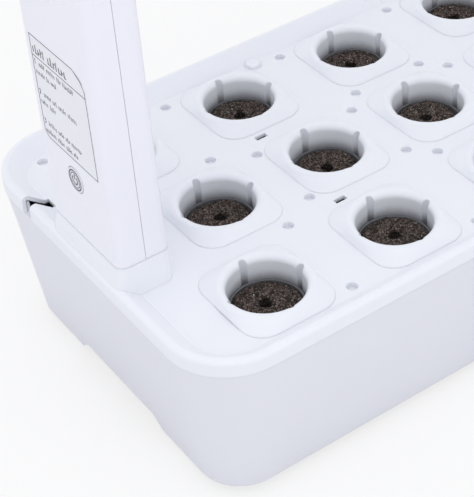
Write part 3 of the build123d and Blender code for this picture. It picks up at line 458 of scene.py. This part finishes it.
class GARDEN_OT_plastics(bpy.types.Operator):
    """Give the tub, deck, posts, key, baskets and lamp housing their plastics"""

    bl_idname = "garden.plastics"
    bl_label = "Moulded Plastics"

    def execute(self, context):
        settings = context.scene.garden_plastics
        lid, post = tuple(settings.lid), tuple(settings.post)
        # Colour of the painted shade in the wells and on the baskets' rims
        dust_and_shade = tuple(settings.dust_and_shade)
        dress(moulded_plastic("tub satin white", tuple(settings.tub), 0.42, 0.012, 0.6), "tub")
        dress(well_plastic("deck satin white", lid, dust_and_shade), "deck_lid")
        dress(moulded_plastic("plug satin white", lid, 0.36, 0.01, 0.3), "service_plug")
        dress(moulded_plastic("key satin white", shade(post, 0.86), 0.3, 0.006, 0.2), "power_key")
        shells = [
            f"{side}_post_{part}"
            for side in ("left", "right")
            for part in ("outer_shell", "inner_shell", "collar")
        ]
        dress(moulded_plastic("post satin white", post, 0.38, 0.01, 0.5), *shells)
        lamp = moulded_plastic("lamp satin white", tuple(settings.lamp), 0.4, 0.012, 0.5)
        dress(lamp, "lamp_cover", "lamp_frame")
        basket = basket_plastic("basket plastic", tuple(settings.basket), dust_and_shade)
        dress(basket, *(f"grow_basket_{number}" for number in WELLS))
        return {"FINISHED"}


class GARDEN_OT_rubber(bpy.types.Operator):
    """Give the feet and the pump's suction feet their rubber"""

    bl_idname = "garden.rubber"
    bl_label = "Rubber"

    def execute(self, context):
        colour = tuple(context.scene.garden_plastics.rubber)
        dress(self.rubber("foot rubber", colour), *(f"rubber_foot_{i}" for i in range(1, 5)))
        dress(self.rubber("suction foot rubber", shade(colour, 0.1)), "pump_suction_feet")
        return {"FINISHED"}

    def rubber(self, name, colour):
        """Matt rubber with pores and a little dust."""
        paint = Paint(name)
        spot = paint.place()
        dust_and_shade = paint.cloud(spot, 320.0, 5.0, 0.7)
        pores = paint.cloud(spot, 3000.0, 3.0)
        return paint.finish(
            Base_Color=paint.blend(dust_and_shade.step(0.45, 0.7), shade(colour, 0.9), shade(colour, 1.08)),
            Roughness=0.72 + 0.15 * dust_and_shade,
            Normal=paint.bump(pores, 0.05, 0.8, paint.soft_edges(0.3)),
            IOR=1.5,
        )


class GARDEN_OT_metals(bpy.types.Operator):
    """Give the sliding legs and the pump shaft their metal"""

    bl_idname = "garden.metals"
    bl_label = "Metals"

    def execute(self, context):
        dress(self.anodised(), "left_leg", "right_leg")
        dress(self.ground(), "pump_shaft")
        return {"FINISHED"}

    def anodised(self):
        """Satin aluminium, drawn along Z."""
        paint = Paint("anodised leg")
        streaks = paint.cloud(paint.place((1.0, 1.0, 0.02)), 1500.0, 3.0, 0.6)
        broad = paint.cloud(paint.place((1.0, 1.0, 0.1)), 90.0)
        return paint.finish(
            Base_Color=paint.blend(streaks.step(0.3, 0.7), (0.62, 0.63, 0.65), (0.74, 0.75, 0.77)),
            Metallic=0.85 + 0.1 * broad,
            Roughness=0.3 + 0.12 * streaks,
            Normal=paint.bump(streaks, 0.01, 0.6, paint.soft_edges(0.3)),
        )

    def ground(self):
        """Ground steel with fine rings round X."""
        paint = Paint("ground shaft")
        rings = paint.cloud(paint.place((12.0, 1.0, 1.0)), 900.0)
        return paint.finish(
            Base_Color=paint.blend(rings, (0.5, 0.5, 0.51), (0.62, 0.62, 0.63)),
            Metallic=1.0,
            Roughness=0.18 + 0.1 * rings,
            Normal=paint.bump(rings, 0.005, 0.4),
        )


# ---- Lamp optics, boards and pump ----


class GARDEN_OT_electrics(bpy.types.Operator):
    """Give the diffuser, the LED board and the control board their materials"""

    bl_idname = "garden.electrics"
    bl_label = "Diffuser and Boards"

    def execute(self, context):
        dress(self.diffuser(), "lamp_diffuser")
        dress(self.led_board(), "led_board")
        dress(self.control_board(), "control_board")
        return {"FINISHED"}

    def diffuser(self):
        """Frosted sheet that lets the LEDs show faintly."""
        paint = Paint("frosted diffuser")
        spot = paint.place()
        frost = paint.cloud(spot, 1400.0, 4.0, 0.7)
        broad = paint.cloud(spot, 12.0)
        return paint.finish(
            Base_Color=paint.blend(broad, (0.84, 0.86, 0.90), (0.90, 0.91, 0.94)),
            Roughness=0.5 + 0.2 * frost,
            Alpha=0.78 + 0.08 * frost,
            Normal=paint.bump(frost, 0.03, 0.7),
        )

    def led_board(self):
        """White solder mask with fine tracks above, yellow phosphor in pale cases below."""
        chip_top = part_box("led_board")[0].z + LED_HEIGHT
        paint = Paint("led board")
        spot = paint.place()
        speckle = paint.cloud(spot, 900.0, 3.0)
        tracks = paint.cells(paint.place((1.0, 0.25, 0.0)), 160.0, "DISTANCE_TO_EDGE")
        mask = paint.blend(tracks.step(0.02, 0.06), (0.66, 0.67, 0.66), (0.80, 0.81, 0.80))
        chips = 1.0 - paint.axes(spot)[2].step(chip_top, chip_top + CHANGE)
        tint = paint.blend(chips, mask, (0.86, 0.72, 0.18))
        return paint.finish(
            Base_Color=paint.blend(speckle * 0.25, tint, (0.55, 0.55, 0.52)),
            Roughness=0.42 + 0.15 * speckle,
            Normal=paint.bump(tracks.step(0.02, 0.06), 0.03, 0.8),
        )

    def control_board(self):
        """Green solder mask with tracks, dark chips on one side and a steel switch on the other."""
        low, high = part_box("control_board")
        paint = Paint("control board")
        spot = paint.place()
        x, _, z = paint.axes(spot)
        speckle = paint.cloud(spot, 1200.0, 3.0)
        tracks = paint.cells(paint.place((0.0, 1.0, 0.4)), 420.0, "DISTANCE_TO_EDGE")
        mask = paint.blend(tracks.step(0.03, 0.08), (0.020, 0.115, 0.048), (0.010, 0.060, 0.026))
        switch = 1.0 - x.step(low.x + PARTS_DEPTH, low.x + PARTS_DEPTH + CHANGE)
        parts = x.step(high.x - PARTS_DEPTH - CHANGE, high.x - PARTS_DEPTH)
        above_sockets = z.step(low.z + SOCKETS_HEIGHT, low.z + SOCKETS_HEIGHT + 10 * CHANGE)
        pale = paint.blend(above_sockets, (0.72, 0.70, 0.64), (0.028, 0.028, 0.030))
        tint = paint.blend(switch, paint.blend(parts, mask, pale), (0.52, 0.52, 0.53))
        return paint.finish(
            Base_Color=tint,
            Metallic=0.8 * switch,
            Roughness=0.36 + 0.2 * speckle,
            Normal=paint.bump(tracks.step(0.03, 0.08), 0.03, 0.8, paint.soft_edges(0.2)),
        )


class GARDEN_OT_pump(bpy.types.Operator):
    """Give the pump its plastics and the magnet of its rotor"""

    bl_idname = "garden.pump"
    bl_label = "Pump"

    def execute(self, context):
        colour = tuple(context.scene.garden_plastics.pump)
        dress(moulded_plastic("pump housing", colour, 0.42, 0.03, 0.4), "pump_housing")
        dress(moulded_plastic("pump cover", shade(colour, 1.6), 0.5, 0.04, 0.4), "pump_inlet_cover")
        dress(self.rotor(), "pump_impeller")
        return {"FINISHED"}

    def rotor(self):
        """Pale vanes on a dark magnet."""
        vanes_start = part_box("pump_impeller")[1].x - VANES_DEPTH
        paint = Paint("impeller and magnet")
        spot = paint.place()
        grit = paint.cloud(spot, 1600.0, 4.0, 0.7)
        vanes = paint.axes(spot)[0].step(vanes_start - CHANGE, vanes_start)
        tint = paint.blend(vanes, (0.05, 0.05, 0.055), (0.66, 0.67, 0.68))
        return paint.finish(
            Base_Color=paint.blend(grit * 0.3, tint, (0.12, 0.12, 0.125)),
            Roughness=0.4 + 0.3 * grit,
            Normal=paint.bump(grit, 0.04, 0.7, paint.soft_edges(0.3)),
        )


# ---- Screws and the pin of the inlet ----


def cross_loop(bm, arm, height):
    """Closed loop of edges round a cross, from a vertex in the middle of each of its sides."""
    half = arm * 0.3
    corners = []
    for turn in range(4):
        quarter = Matrix.Rotation(turn * math.tau / 4, 3, "Z")
        for x, y in ((arm, -half), (arm, half), (half, half)):
            corners.append(quarter @ Vector((x, y, height)))
    verts = []
    for corner, following in zip(corners, corners[1:] + corners[:1]):
        verts += [bm.verts.new(corner), bm.verts.new((corner + following) / 2)]
    return [bm.edges.new(pair) for pair in zip(verts, verts[1:] + verts[:1])]


def screw_shape(matrix, settings, length):
    """A pan-head screw with a cross recess, its head along +Z from the matrix's origin."""
    height, shank = settings.head_height, settings.shank
    section = [(settings.head * share, height * level) for share, level in HEAD_PROFILE]
    section.append((shank, 0.0))
    for i in range(1, 2 * THREAD_TURNS):
        section.append((shank if i % 2 else shank * THREAD_ROOT, -length * i / (2 * THREAD_TURNS)))
    section += [(shank * SCREW_TIP, -length), (0.0, -length)]
    bm = bmesh.new()
    lathe(bm, section, SCREW_STEPS)
    rim = [edge for edge in bm.edges if edge.is_boundary]
    mouth = cross_loop(bm, settings.arm, height)
    floor = cross_loop(bm, settings.arm * 0.7, height * 0.35)
    bmesh.ops.bridge_loops(bm, edges=rim + mouth)
    bmesh.ops.bridge_loops(bm, edges=mouth + floor)
    bmesh.ops.edgeloop_fill(bm, edges=floor)
    bmesh.ops.recalc_face_normals(bm, faces=bm.faces)
    bmesh.ops.transform(bm, matrix=matrix, verts=bm.verts)
    return bm


def screw_steel():
    """Zinc-plated steel."""
    paint = Paint("zinc-plated screw")
    spot = paint.place()
    haze = paint.cloud(spot, 700.0, 4.0, 0.6)
    return paint.finish(
        Base_Color=paint.blend(haze, (0.50, 0.50, 0.50), (0.66, 0.66, 0.65)),
        Metallic=0.9 + 0.1 * haze,
        Roughness=0.28 + 0.2 * haze,
        Normal=paint.bump(haze, 0.01, 0.6),
    )


def islands(node):
    """Boxes of the separate solids in a node of the frame."""
    bm = bmesh.new()
    bm.from_mesh(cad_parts[node].data)
    bmesh.ops.remove_doubles(bm, verts=bm.verts, dist=1e-6)
    left = set(bm.verts)
    boxes = []
    while left:
        grown = [left.pop()]
        found = list(grown)
        while grown:
            vert = grown.pop()
            for edge in vert.link_edges:
                other = edge.other_vert(vert)
                if other in left:
                    left.remove(other)
                    grown.append(other)
                    found.append(other)
        spans = [(min(values), max(values)) for values in zip(*(vert.co for vert in found))]
        boxes.append([Vector(corner) for corner in zip(*spans)])
    bm.free()
    return sorted(boxes, key=lambda box: tuple(round(value, 5) for value in box[0]))


class GARDEN_OT_screws(bpy.types.Operator):
    """Build the screws of the posts and the lamp with their cross recess and thread"""

    bl_idname = "garden.screws"
    bl_label = "Screws"

    def execute(self, context):
        settings = context.scene.garden_fittings
        steel = screw_steel()
        for node, body in (("post_screws", "base"), ("lamp_screws", "lamp")):
            joined = bmesh.new()
            for low, high in islands(node):
                middle = (low + high) / 2
                length = max(high - low) - settings.head_height
                if node == "post_screws":
                    # Heads face the middle of the garden
                    side = math.copysign(1.0, middle.x)
                    seat = (low.x if side > 0 else high.x) + side * settings.head_height
                    origin = Vector((seat, middle.y, middle.z))
                    turn = Matrix.Rotation(-side * math.tau / 4, 4, "Y")
                else:
                    origin = Vector((middle.x, middle.y, low.z + settings.head_height))
                    turn = Matrix.Rotation(math.pi, 4, "X")
                # Every screw was driven to a turn of its own
                driven = Matrix.Rotation((middle.x * 37.0 + middle.z * 53.0) * 9.0, 4, "Z")
                shape = screw_shape(Matrix.Translation(origin) @ turn @ driven, settings, length)
                part = bpy.data.meshes.new("screw")
                shape.to_mesh(part)
                shape.free()
                joined.from_mesh(part)
                bpy.data.meshes.remove(part)
            finished(f"{node}_detailed", joined, body, [steel], (node,))
        return {"FINISHED"}


class GARDEN_OT_inlet(bpy.types.Operator):
    """Give the DC inlet its plastic and build its centre pin and contact sleeve"""

    bl_idname = "garden.inlet"
    bl_label = "DC Inlet"

    def execute(self, context):
        settings = context.scene.garden_fittings
        black = moulded_plastic("inlet plastic", (0.016, 0.016, 0.018), 0.45, 0.03, 0.2)
        dress(black, "dc_inlet")
        low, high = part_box("dc_inlet")
        foot = ((low.x + high.x) / 2, high.y - settings.bore_depth, (low.z + high.z) / 2)
        reach = settings.bore_depth - CONTACT_SETBACK
        tip = 0.5 * MM
        pin = settings.pin
        outer = settings.bore - SLEEVE_GAP
        inner = outer - SLEEVE_WALL
        bm = bmesh.new()
        point = [(0.0, 0.0), (pin, 0.0), (pin, reach - tip), (pin * 0.45, reach), (0.0, reach)]
        lathe(bm, point, 24)
        lathe(bm, [(outer, 0.0), (outer, reach), (inner, reach), (inner, 0.0), (outer, 0.0)], 40)
        turn = Matrix.Translation(foot) @ Matrix.Rotation(-math.tau / 4, 4, "X")
        bmesh.ops.transform(bm, matrix=turn, verts=bm.verts)
        finished("dc_inlet_contacts", bm, "base", [self.tinned()])
        return {"FINISHED"}

    def tinned(self):
        """Bright tin plating."""
        paint = Paint("tinned contact")
        haze = paint.cloud(paint.place(), 900.0, 3.0)
        return paint.finish(
            Base_Color=paint.blend(haze, (0.62, 0.61, 0.58), (0.76, 0.75, 0.72)),
            Metallic=1.0,
            Roughness=0.2 + 0.15 * haze,
            Normal=paint.bump(haze, 0.008, 0.5),
        )


# ---- Label and key print ----


class Ink:
    """Thin raised print on a face that looks along -X.

    It is drawn flat, with X to the reader's right and Y up, and raised at the end.
    """

    def __init__(self, face_x, proud):
        self.bm = bmesh.new()
        self.proud = proud
        self.place = Matrix(((0, 0, -1, face_x), (-1, 0, 0, 0), (0, 1, 0, 0), (0, 0, 0, 1)))

    def rectangle(self, right, up, length, width, angle=0.0):
        """A printed rectangle round its middle."""
        middle = Matrix.Translation((right, up, 0.0)) @ Matrix.Rotation(angle, 4, "Z")
        stretch = Matrix.Diagonal((length, width, 1.0, 1.0))
        bmesh.ops.create_grid(
            self.bm, x_segments=1, y_segments=1, size=0.5, matrix=middle @ stretch
        )

    def bar(self, right, up, width, height):
        """A printed rectangle from its lower corner."""
        self.rectangle(right + width / 2, up + height / 2, width, height)

    def stroke(self, points, width, closed=False):
        """A line of even width along points, as one rectangle for each stretch."""
        following = points[1:] + points[:1] if closed else points[1:]
        for (x0, y0), (x1, y1) in zip(points, following):
            length = math.hypot(x1 - x0, y1 - y0) + 0.6 * width
            angle = math.atan2(y1 - y0, x1 - x0)
            self.rectangle((x0 + x1) / 2, (y0 + y1) / 2, length, width, angle)

    def ring(self, centre_up, radius, width, start=0.0, sweep=math.tau, steps=64):
        """A printed ring or arc round a point on the middle line."""
        centre = Vector((0.0, centre_up, 0.0))
        away = Vector((math.cos(start), math.sin(start), 0.0))
        sides = (radius - width / 2, radius + width / 2)
        ends = [self.bm.verts.new(centre + away * side) for side in sides]
        bmesh.ops.spin(
            self.bm,
            geom=[*ends, self.bm.edges.new(ends)],
            cent=centre,
            axis=(0, 0, 1),
            angle=sweep,
            steps=steps,
            use_merge=sweep == math.tau,
        )

    def numeral(self, digit, right, up, height, width):
        """A plain numeral made of straight strokes."""
        half = height / 2
        for shape in NUMERALS[digit]:
            self.stroke([(right + px * half * 0.9, up + py * half) for px, py in shape], width)

    def words(self, letters, right, up, size, chance):
        """A line of stand-in words: rows of short upright marks, as many as the letters."""
        for count in letters:
            for _ in range(count):
                tall = chance.random() < 0.3
                height = size * (1.45 if tall else 1.0)
                width = size * chance.uniform(0.5, 0.62)
                self.bar(right, up, width * 0.42, height)
                if chance.random() < 0.6:
                    level = up + size * chance.choice((0.0, 0.42, 0.82))
                    self.bar(right, level, width, size * 0.18)
                right += width + size * 0.18
            right += size * 0.7

    def raised(self):
        """The print, raised off its face and open at the back."""
        flat = list(self.bm.faces)
        fronts = bmesh.ops.extrude_face_region(self.bm, geom=flat)["geom"]
        verts = [item for item in fronts if isinstance(item, bmesh.types.BMVert)]
        bmesh.ops.translate(self.bm, verts=verts, vec=(0.0, 0.0, self.proud))
        bmesh.ops.recalc_face_normals(self.bm, faces=self.bm.faces)
        bmesh.ops.delete(self.bm, geom=flat, context="FACES_ONLY")
        bmesh.ops.transform(self.bm, matrix=self.place, verts=self.bm.verts)
        return self.bm


class GARDEN_OT_print(bpy.types.Operator):
    """Print the label beside the key and the symbol on the key"""

    bl_idname = "garden.print"
    bl_label = "Label and Key Print"

    def execute(self, context):
        settings = context.scene.garden_print
        dress(self.film(), "key_label")
        ink = self.ink(tuple(settings.ink))
        self.label(settings, ink)
        self.key(settings, ink)
        return {"FINISHED"}

    def film(self):
        """Thin matt film, a little cloudy."""
        paint = Paint("label film")
        spot = paint.place()
        cloudy = paint.cloud(spot, 40.0, 3.0)
        fine = paint.cloud(spot, 2600.0)
        return paint.finish(
            Base_Color=paint.blend(cloudy, (0.835, 0.838, 0.885), (0.855, 0.858, 0.905)),
            Roughness=0.42 + 0.1 * fine,
            Normal=paint.bump(fine, 0.006, 0.8),
        )

    def ink(self, colour):
        """Dark screen print."""
        paint = Paint("dark print")
        fine = paint.cloud(paint.place(), 5200.0, 3.0)
        return paint.finish(
            Base_Color=paint.blend(fine, shade(colour, 0.8), shade(colour, 1.7)),
            Roughness=0.5 + 0.15 * fine,
            Normal=paint.bump(fine, 0.004, 0.6),
        )

    def label(self, settings, ink):
        """A frame with a heading, and three numbered items of two lines."""
        low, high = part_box("key_label")
        printed = Ink(low.x, settings.proud)
        edge = settings.margin
        left, right = -high.y + edge, -low.y - edge
        foot, top = low.z + edge, high.z - edge
        cut, cut_rise = settings.corner, settings.corner * 0.72
        # Frame with its slanted corner, softened by two points, and a small cut at the foot
        outline = [
            (left, top),
            (right - cut, top),
            (right - cut * 0.32, top - cut_rise * 0.5),
            (right, top - cut_rise * 1.15),
            (right, foot),
            (left + cut * 0.38, foot),
            (left, foot + cut * 0.3),
        ]
        printed.stroke(outline, settings.line, closed=True)
        divider = top - settings.heading
        printed.stroke([(left, divider), (right, divider)], settings.line)
        chance = random.Random(7)
        size = settings.letter
        printed.words(HEADING_WORDS, left + size * 0.9, divider + size, size * 1.75, chance)
        for item, (first, second) in enumerate(ITEM_WORDS):
            level = divider - size * 2.4 - item * settings.item_step
            printed.numeral(item + 1, left + size * 0.7, level, size * 1.35, size * 0.22)
            printed.words(first, left + size * 2.9, level, size, chance)
            printed.words(second, left + size * 0.8, level - settings.line_step, size, chance)
        finished("key_label_print", printed.raised(), "base", [ink])

    def key(self, settings, ink):
        """Two rings round a plain power symbol, which is an open ring with an upright bar."""
        low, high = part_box("power_key")
        middle = (low.z + high.z) / 2
        reach = settings.key_ring
        printed = Ink(low.x, settings.proud)
        width = settings.line * 1.8
        printed.ring(middle, reach, width)
        printed.ring(middle, reach * 0.76, width * 0.6)
        printed.ring(middle, reach * 0.42, width, math.radians(125), math.radians(290), 40)
        printed.bar(-width / 2, middle + reach * 0.1, width, reach * 0.5)
        finished("power_key_print", printed.raised(), "key", [ink])


# ---- Grow sponges ----


def pressed_peat(name, settings, tone):
    """Grains of pressed peat, darker towards the gaps between them."""
    dark, light = shade(tuple(settings.dark), tone), shade(tuple(settings.light), tone)
    paint = Paint(name)
    spot = paint.place()
    grains = paint.cells(spot, 1.0 / settings.grain, out="Color")
    share = paint.node("ShaderNodeSeparateColor", sockets={"Color": grains})
    gaps = paint.cells(spot, 1.0 / settings.grain, "DISTANCE_TO_EDGE")
    fibres = paint.cloud(spot, 2600.0, 4.0, 0.7)
    tint = paint.blend((share * 0.8 + 0.2 * fibres).step(0.05, 1.0), dark, light)
    tint = paint.blend(gaps.step(0.0, 0.16), shade(dark, 0.4), tint)
    relief = gaps.step(0.0, 0.3) + 0.5 * fibres
    return paint.finish(
        Base_Color=tint,
        Roughness=0.88 + 0.1 * fibres,
        Normal=paint.bump(relief, 0.35, 0.9),
        IOR=1.4,
    )


def mineral_speck():
    """Pale mineral grit."""
    paint = Paint("pale mineral speck")
    cloud = paint.cloud(paint.place(), 1800.0, 3.0)
    return paint.finish(
        Base_Color=paint.blend(cloud, (0.60, 0.56, 0.50), (0.82, 0.80, 0.76)),
        Roughness=0.7 + 0.2 * cloud,
        Normal=paint.bump(cloud, 0.08, 0.8),
    )


def grain_height(point, settings):
    """Relief of pressed peat at a point, in metres."""
    size = settings.grain
    nearest = noise.voronoi(point / size)[0]
    lumps = min(1.0, max(0.0, (nearest[1] - nearest[0]) * 2.2))
    waves = noise.noise(point / (size * 4.5))
    return settings.relief * (lumps - 0.5 + 0.9 * waves)


class GARDEN_OT_sponges(bpy.types.Operator):
    """Build the grow sponges of pressed peat with their crumbs"""

    bl_idname = "garden.sponges"
    bl_label = "Grow Sponges"

    def execute(self, context):
        settings = context.scene.garden_peat
        materials = [
            pressed_peat("pressed peat", settings, 1.0),
            mineral_speck(),
            # A darker copy of the peat: painted shade in the seed hole
            pressed_peat("peat in painted shade in the seed hole", settings, 0.28),
        ]
        for seed, number in enumerate(WELLS, 1):
            self.build(f"grow_sponge_{number}", settings, materials, seed)
        return {"FINISHED"}

    def build(self, node, settings, materials, seed):
        """One sponge: turned on a lathe, then grained, domed, broken at the edge and strewn."""
        low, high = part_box(node)
        centre = Vector(((low.x + high.x) / 2, (low.y + high.y) / 2, 0.0))
        crown = (high.x - low.x) / 2 - 0.0003
        top = high.z - settings.relief
        chance = random.Random(seed)
        drift = Vector((chance.uniform(-1, 1), chance.uniform(-1, 1), 0)) * HOLE_DRIFT
        bm = bmesh.new()
        lathe(bm, self.section(low, high, crown, top, settings.hole), SPONGE_STEPS)
        bm.normal_update()
        for face in bm.faces:
            middle = face.calc_center_median()
            in_hole = high.z - HOLE_DEPTH < middle.z < top - 0.0006
            # Faces down in the seed hole take the peat in painted shade
            if in_hole and middle.xy.length < settings.hole:
                face.material_index = HOLE_SHADE
        for vert in bm.verts:
            if vert.co.z < high.z - PLAIN_DEPTH:
                continue
            radius = math.hypot(vert.co.x, vert.co.y)
            near_hole = max(0.0, 1.0 - abs(radius - settings.hole) / HOLE_REACH)
            lift = grain_height(vert.co + centre, settings)
            if radius > crown - CROWN_RIM:
                # The crown's side crumbles inwards only
                lift = min(lift, 0.0) - 0.0002
                away = Vector((vert.co.x, vert.co.y, 0)).normalized()
                vert.co += away * lift * 1.2
                vert.co.z += 0.4 * lift
            else:
                vert.co += vert.normal * lift
            vert.co += drift * near_hole
        for vert in bm.verts:
            if vert.co.z > high.z - CROWN_DEPTH:
                self.break_edge(vert.co, crown, seed, settings)
        bmesh.ops.translate(bm, verts=bm.verts, vec=centre)
        self.scatter(bm, centre, crown, top, settings, chance, seed)
        finished(f"{node}_peat", bm, "base", materials, (node,), smooth=True)

    def section(self, low, high, crown, top, hole):
        """Half of the section, from the bottom centre round to the floor of the seed hole."""
        flat_start = crown - CROWN_RIM
        flat = flat_start - hole - 0.0012
        return [
            (0.0, low.z),
            (0.0108, low.z),
            (0.0152, high.z - 0.0088),
            (crown - 0.0005, high.z - 0.0082),
            (crown, top - 0.004),
            (crown, top - 0.0022),
            (crown - 0.0004, top - 0.0009),
            (crown - 0.0013, top - 0.0002),
            *((flat_start - flat * i / CROWN_RINGS, top) for i in range(CROWN_RINGS + 1)),
            (hole + 0.0003, top - 0.0006),
            (hole - 0.0002, top - 0.0018),
            (hole - 0.0006, top - 0.0034),
            (hole - 0.0012, top - 0.0052),
            (hole * 0.45, top - 0.0068),
            (0.0, top - 0.0074),
        ]

    def break_edge(self, place, crown, seed, settings):
        """Lowers the outside of the crown into a dome and breaks its edge away."""
        share = min(1.0, math.hypot(place.x, place.y) / crown)
        if share == 0.0:
            return
        round_about = Vector((place.x, place.y, 0)).normalized() * 1.7 + Vector((0, 0, seed * 3.1))
        bitten = max(0.0, 0.35 + 0.8 * noise.noise(round_about))
        place.z += settings.dome * (0.5 - share**2 * (0.55 + 0.6 * bitten))
        keep = 1.0 - settings.ragged * bitten * share**3
        place.x *= keep
        place.y *= keep

    def scatter(self, bm, centre, crown, top, settings, chance, seed):
        """Loose crumbs and pale specks that lie on the sponge."""
        inner = settings.hole + 0.001
        spread = crown - 0.0016 - inner
        for index in range(settings.crumbs + settings.specks):
            is_speck = index >= settings.crumbs
            angle = chance.uniform(0, math.tau)
            radius = inner + spread * math.sqrt(chance.random())
            size = (chance.uniform(0.3, 0.45) if is_speck else chance.uniform(0.25, 0.7)) * MM
            spot = Vector((radius * math.cos(angle), radius * math.sin(angle), top))
            lift = grain_height(spot + centre, settings) + size * 0.25
            self.break_edge(spot, crown, seed, settings)
            spot += centre
            spot.z += lift
            angle = chance.uniform(0, math.tau)
            turn = Matrix.Rotation(angle, 4, Vector((chance.random(), chance.random(), 1)))
            breadth, height = chance.uniform(0.6, 1.0), chance.uniform(0.5, 0.9)
            place = Matrix.Translation(spot) @ turn @ Matrix.Diagonal((1.0, breadth, height, 1.0))
            made = bmesh.ops.create_icosphere(bm, subdivisions=1, radius=size, matrix=place)
            if is_speck:
                for face in {face for vert in made["verts"] for face in vert.link_faces}:
                    face.material_index = SPECK


# ---- Stage ----


class GARDEN_OT_stage(bpy.types.Operator):
    """Set the floor, the soft light and the camera"""

    bl_idname = "garden.stage"
    bl_label = "Stage"

    def execute(self, context):
        settings = context.scene.garden_stage
        scene = context.scene
        scene.view_settings.view_transform = "Standard"
        scene.world = self.world(settings)
        self.floor(scene, settings)
        self.lamp(scene, "lamp above", settings.key, settings.key_size, settings.key_place)
        self.lamp(scene, "lamp in front", settings.fill, settings.fill_size, settings.fill_place)
        self.camera(scene, settings)
        return {"FINISHED"}

    def world(self, settings):
        """Even light all round, which camera, reflections and glass see as plain white."""
        paint = Paint("studio", world=True)
        path = paint.node("ShaderNodeLightPath", out="Is Camera Ray")
        seen = path.math("MAXIMUM", path, path.out("Is Glossy Ray"))
        seen = seen.math("MAXIMUM", seen, path.out("Is Transmission Ray"))
        light = {"Color": (0.97, 0.98, 1.0, 1.0), "Strength": settings.ambient}
        room = paint.node("ShaderNodeBackground", sockets=light)
        white = paint.node("ShaderNodeBackground", sockets={"Color": WHITE})
        mixed = paint.node("ShaderNodeMixShader", sockets={0: seen, 1: room, 2: white})
        paint.node("ShaderNodeOutputWorld", sockets={"Surface": mixed})
        return paint.owner

    def floor(self, scene, settings):
        """A wide pale floor, whitened for the camera."""
        paint = Paint("pale floor")
        colour = rgba(tuple(settings.floor))
        matte = paint.node("ShaderNodeBsdfDiffuse", sockets={"Color": colour, "Roughness": 0.5})
        glow = paint.node("ShaderNodeEmission", sockets={"Color": WHITE, "Strength": 1.0})
        seen = paint.node("ShaderNodeLightPath", out="Is Camera Ray") * settings.floor_glow
        mixed = paint.node("ShaderNodeMixShader", sockets={0: seen, 1: matte, 2: glow})
        paint.node("ShaderNodeOutputMaterial", sockets={"Surface": mixed})
        bm = bmesh.new()
        bmesh.ops.create_grid(bm, x_segments=1, y_segments=1, size=6.0)
        mesh = bpy.data.meshes.new("floor")
        bm.to_mesh(mesh)
        bm.free()
        mesh.materials.append(paint.owner)
        floor = bpy.data.objects.new("floor", mesh)
        scene.collection.objects.link(floor)

    def lamp(self, scene, name, power, side, place):
        """A square soft lamp that looks at the garden."""
        light = bpy.data.lights.new(name, "AREA")
        light.energy = power
        light.size = side
        light.color = (1.0, 0.99, 0.97)
        lamp = bpy.data.objects.new(name, light)
        lamp.location = place
        aim = Vector((0.0, 0.0, 0.15)) - Vector(place)
        lamp.rotation_euler = aim.to_track_quat("-Z", "Y").to_euler()
        scene.collection.objects.link(lamp)

    def camera(self, scene, settings):
        """The main camera, above and in front of the left post."""
        data = bpy.data.cameras.new("camera")
        data.lens = settings.lens
        data.sensor_width = 36.0
        data.shift_x, data.shift_y = settings.shift
        data.clip_start, data.clip_end = 0.05, 30.0
        camera = bpy.data.objects.new("camera", data)
        camera.matrix_world = (
            Matrix.Translation(settings.camera)
            @ Matrix.Rotation(settings.azimuth, 4, "Z")
            @ Matrix.Rotation(math.tau / 4 - settings.elevation, 4, "X")
            @ Matrix.Rotation(settings.roll, 4, "Z")
        )
        scene.collection.objects.link(camera)
        scene.camera = camera


# ---- Panel and registration ----

OPERATORS = (
    GARDEN_OT_stage,
    GARDEN_OT_plastics,
    GARDEN_OT_rubber,
    GARDEN_OT_metals,
    GARDEN_OT_electrics,
    GARDEN_OT_pump,
    GARDEN_OT_screws,
    GARDEN_OT_inlet,
    GARDEN_OT_print,
    GARDEN_OT_sponges,
)
SETTINGS = {
    "garden_plastics": GardenPlasticSettings,
    "garden_peat": GardenPeatSettings,
    "garden_print": GardenPrintSettings,
    "garden_fittings": GardenFittingSettings,
    "garden_stage": GardenStageSettings,
}


class GARDEN_PT_panel(bpy.types.Panel):
    """Lists the pieces of the garden"""

    bl_idname = "GARDEN_PT_panel"
    bl_label = "Countertop Garden"
    bl_space_type = "VIEW_3D"
    bl_region_type = "UI"
    bl_category = "Garden"

    def draw(self, context):
        for operator in OPERATORS:
            self.layout.operator(operator.bl_idname)


def register():
    for group in SETTINGS.values():
        bpy.utils.register_class(group)
    for name, group in SETTINGS.items():
        setattr(bpy.types.Scene, name, PointerProperty(type=group))
    for operator in OPERATORS:
        bpy.utils.register_class(operator)
    bpy.utils.register_class(GARDEN_PT_panel)


def unregister():
    bpy.utils.unregister_class(GARDEN_PT_panel)
    for operator in reversed(OPERATORS):
        bpy.utils.unregister_class(operator)
    for name in SETTINGS:
        delattr(bpy.types.Scene, name)
    for group in reversed(SETTINGS.values()):
        bpy.utils.unregister_class(group)


def main():
    register()
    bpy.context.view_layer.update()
    bpy.ops.garden.stage()
    bpy.ops.garden.plastics()
    bpy.ops.garden.rubber()
    bpy.ops.garden.metals()
    bpy.ops.garden.electrics()
    bpy.ops.garden.pump()
    bpy.ops.garden.screws()
    bpy.ops.garden.inlet()
    bpy.ops.garden.print()
    bpy.ops.garden.sponges()


if __name__ == "__main__":
    main()
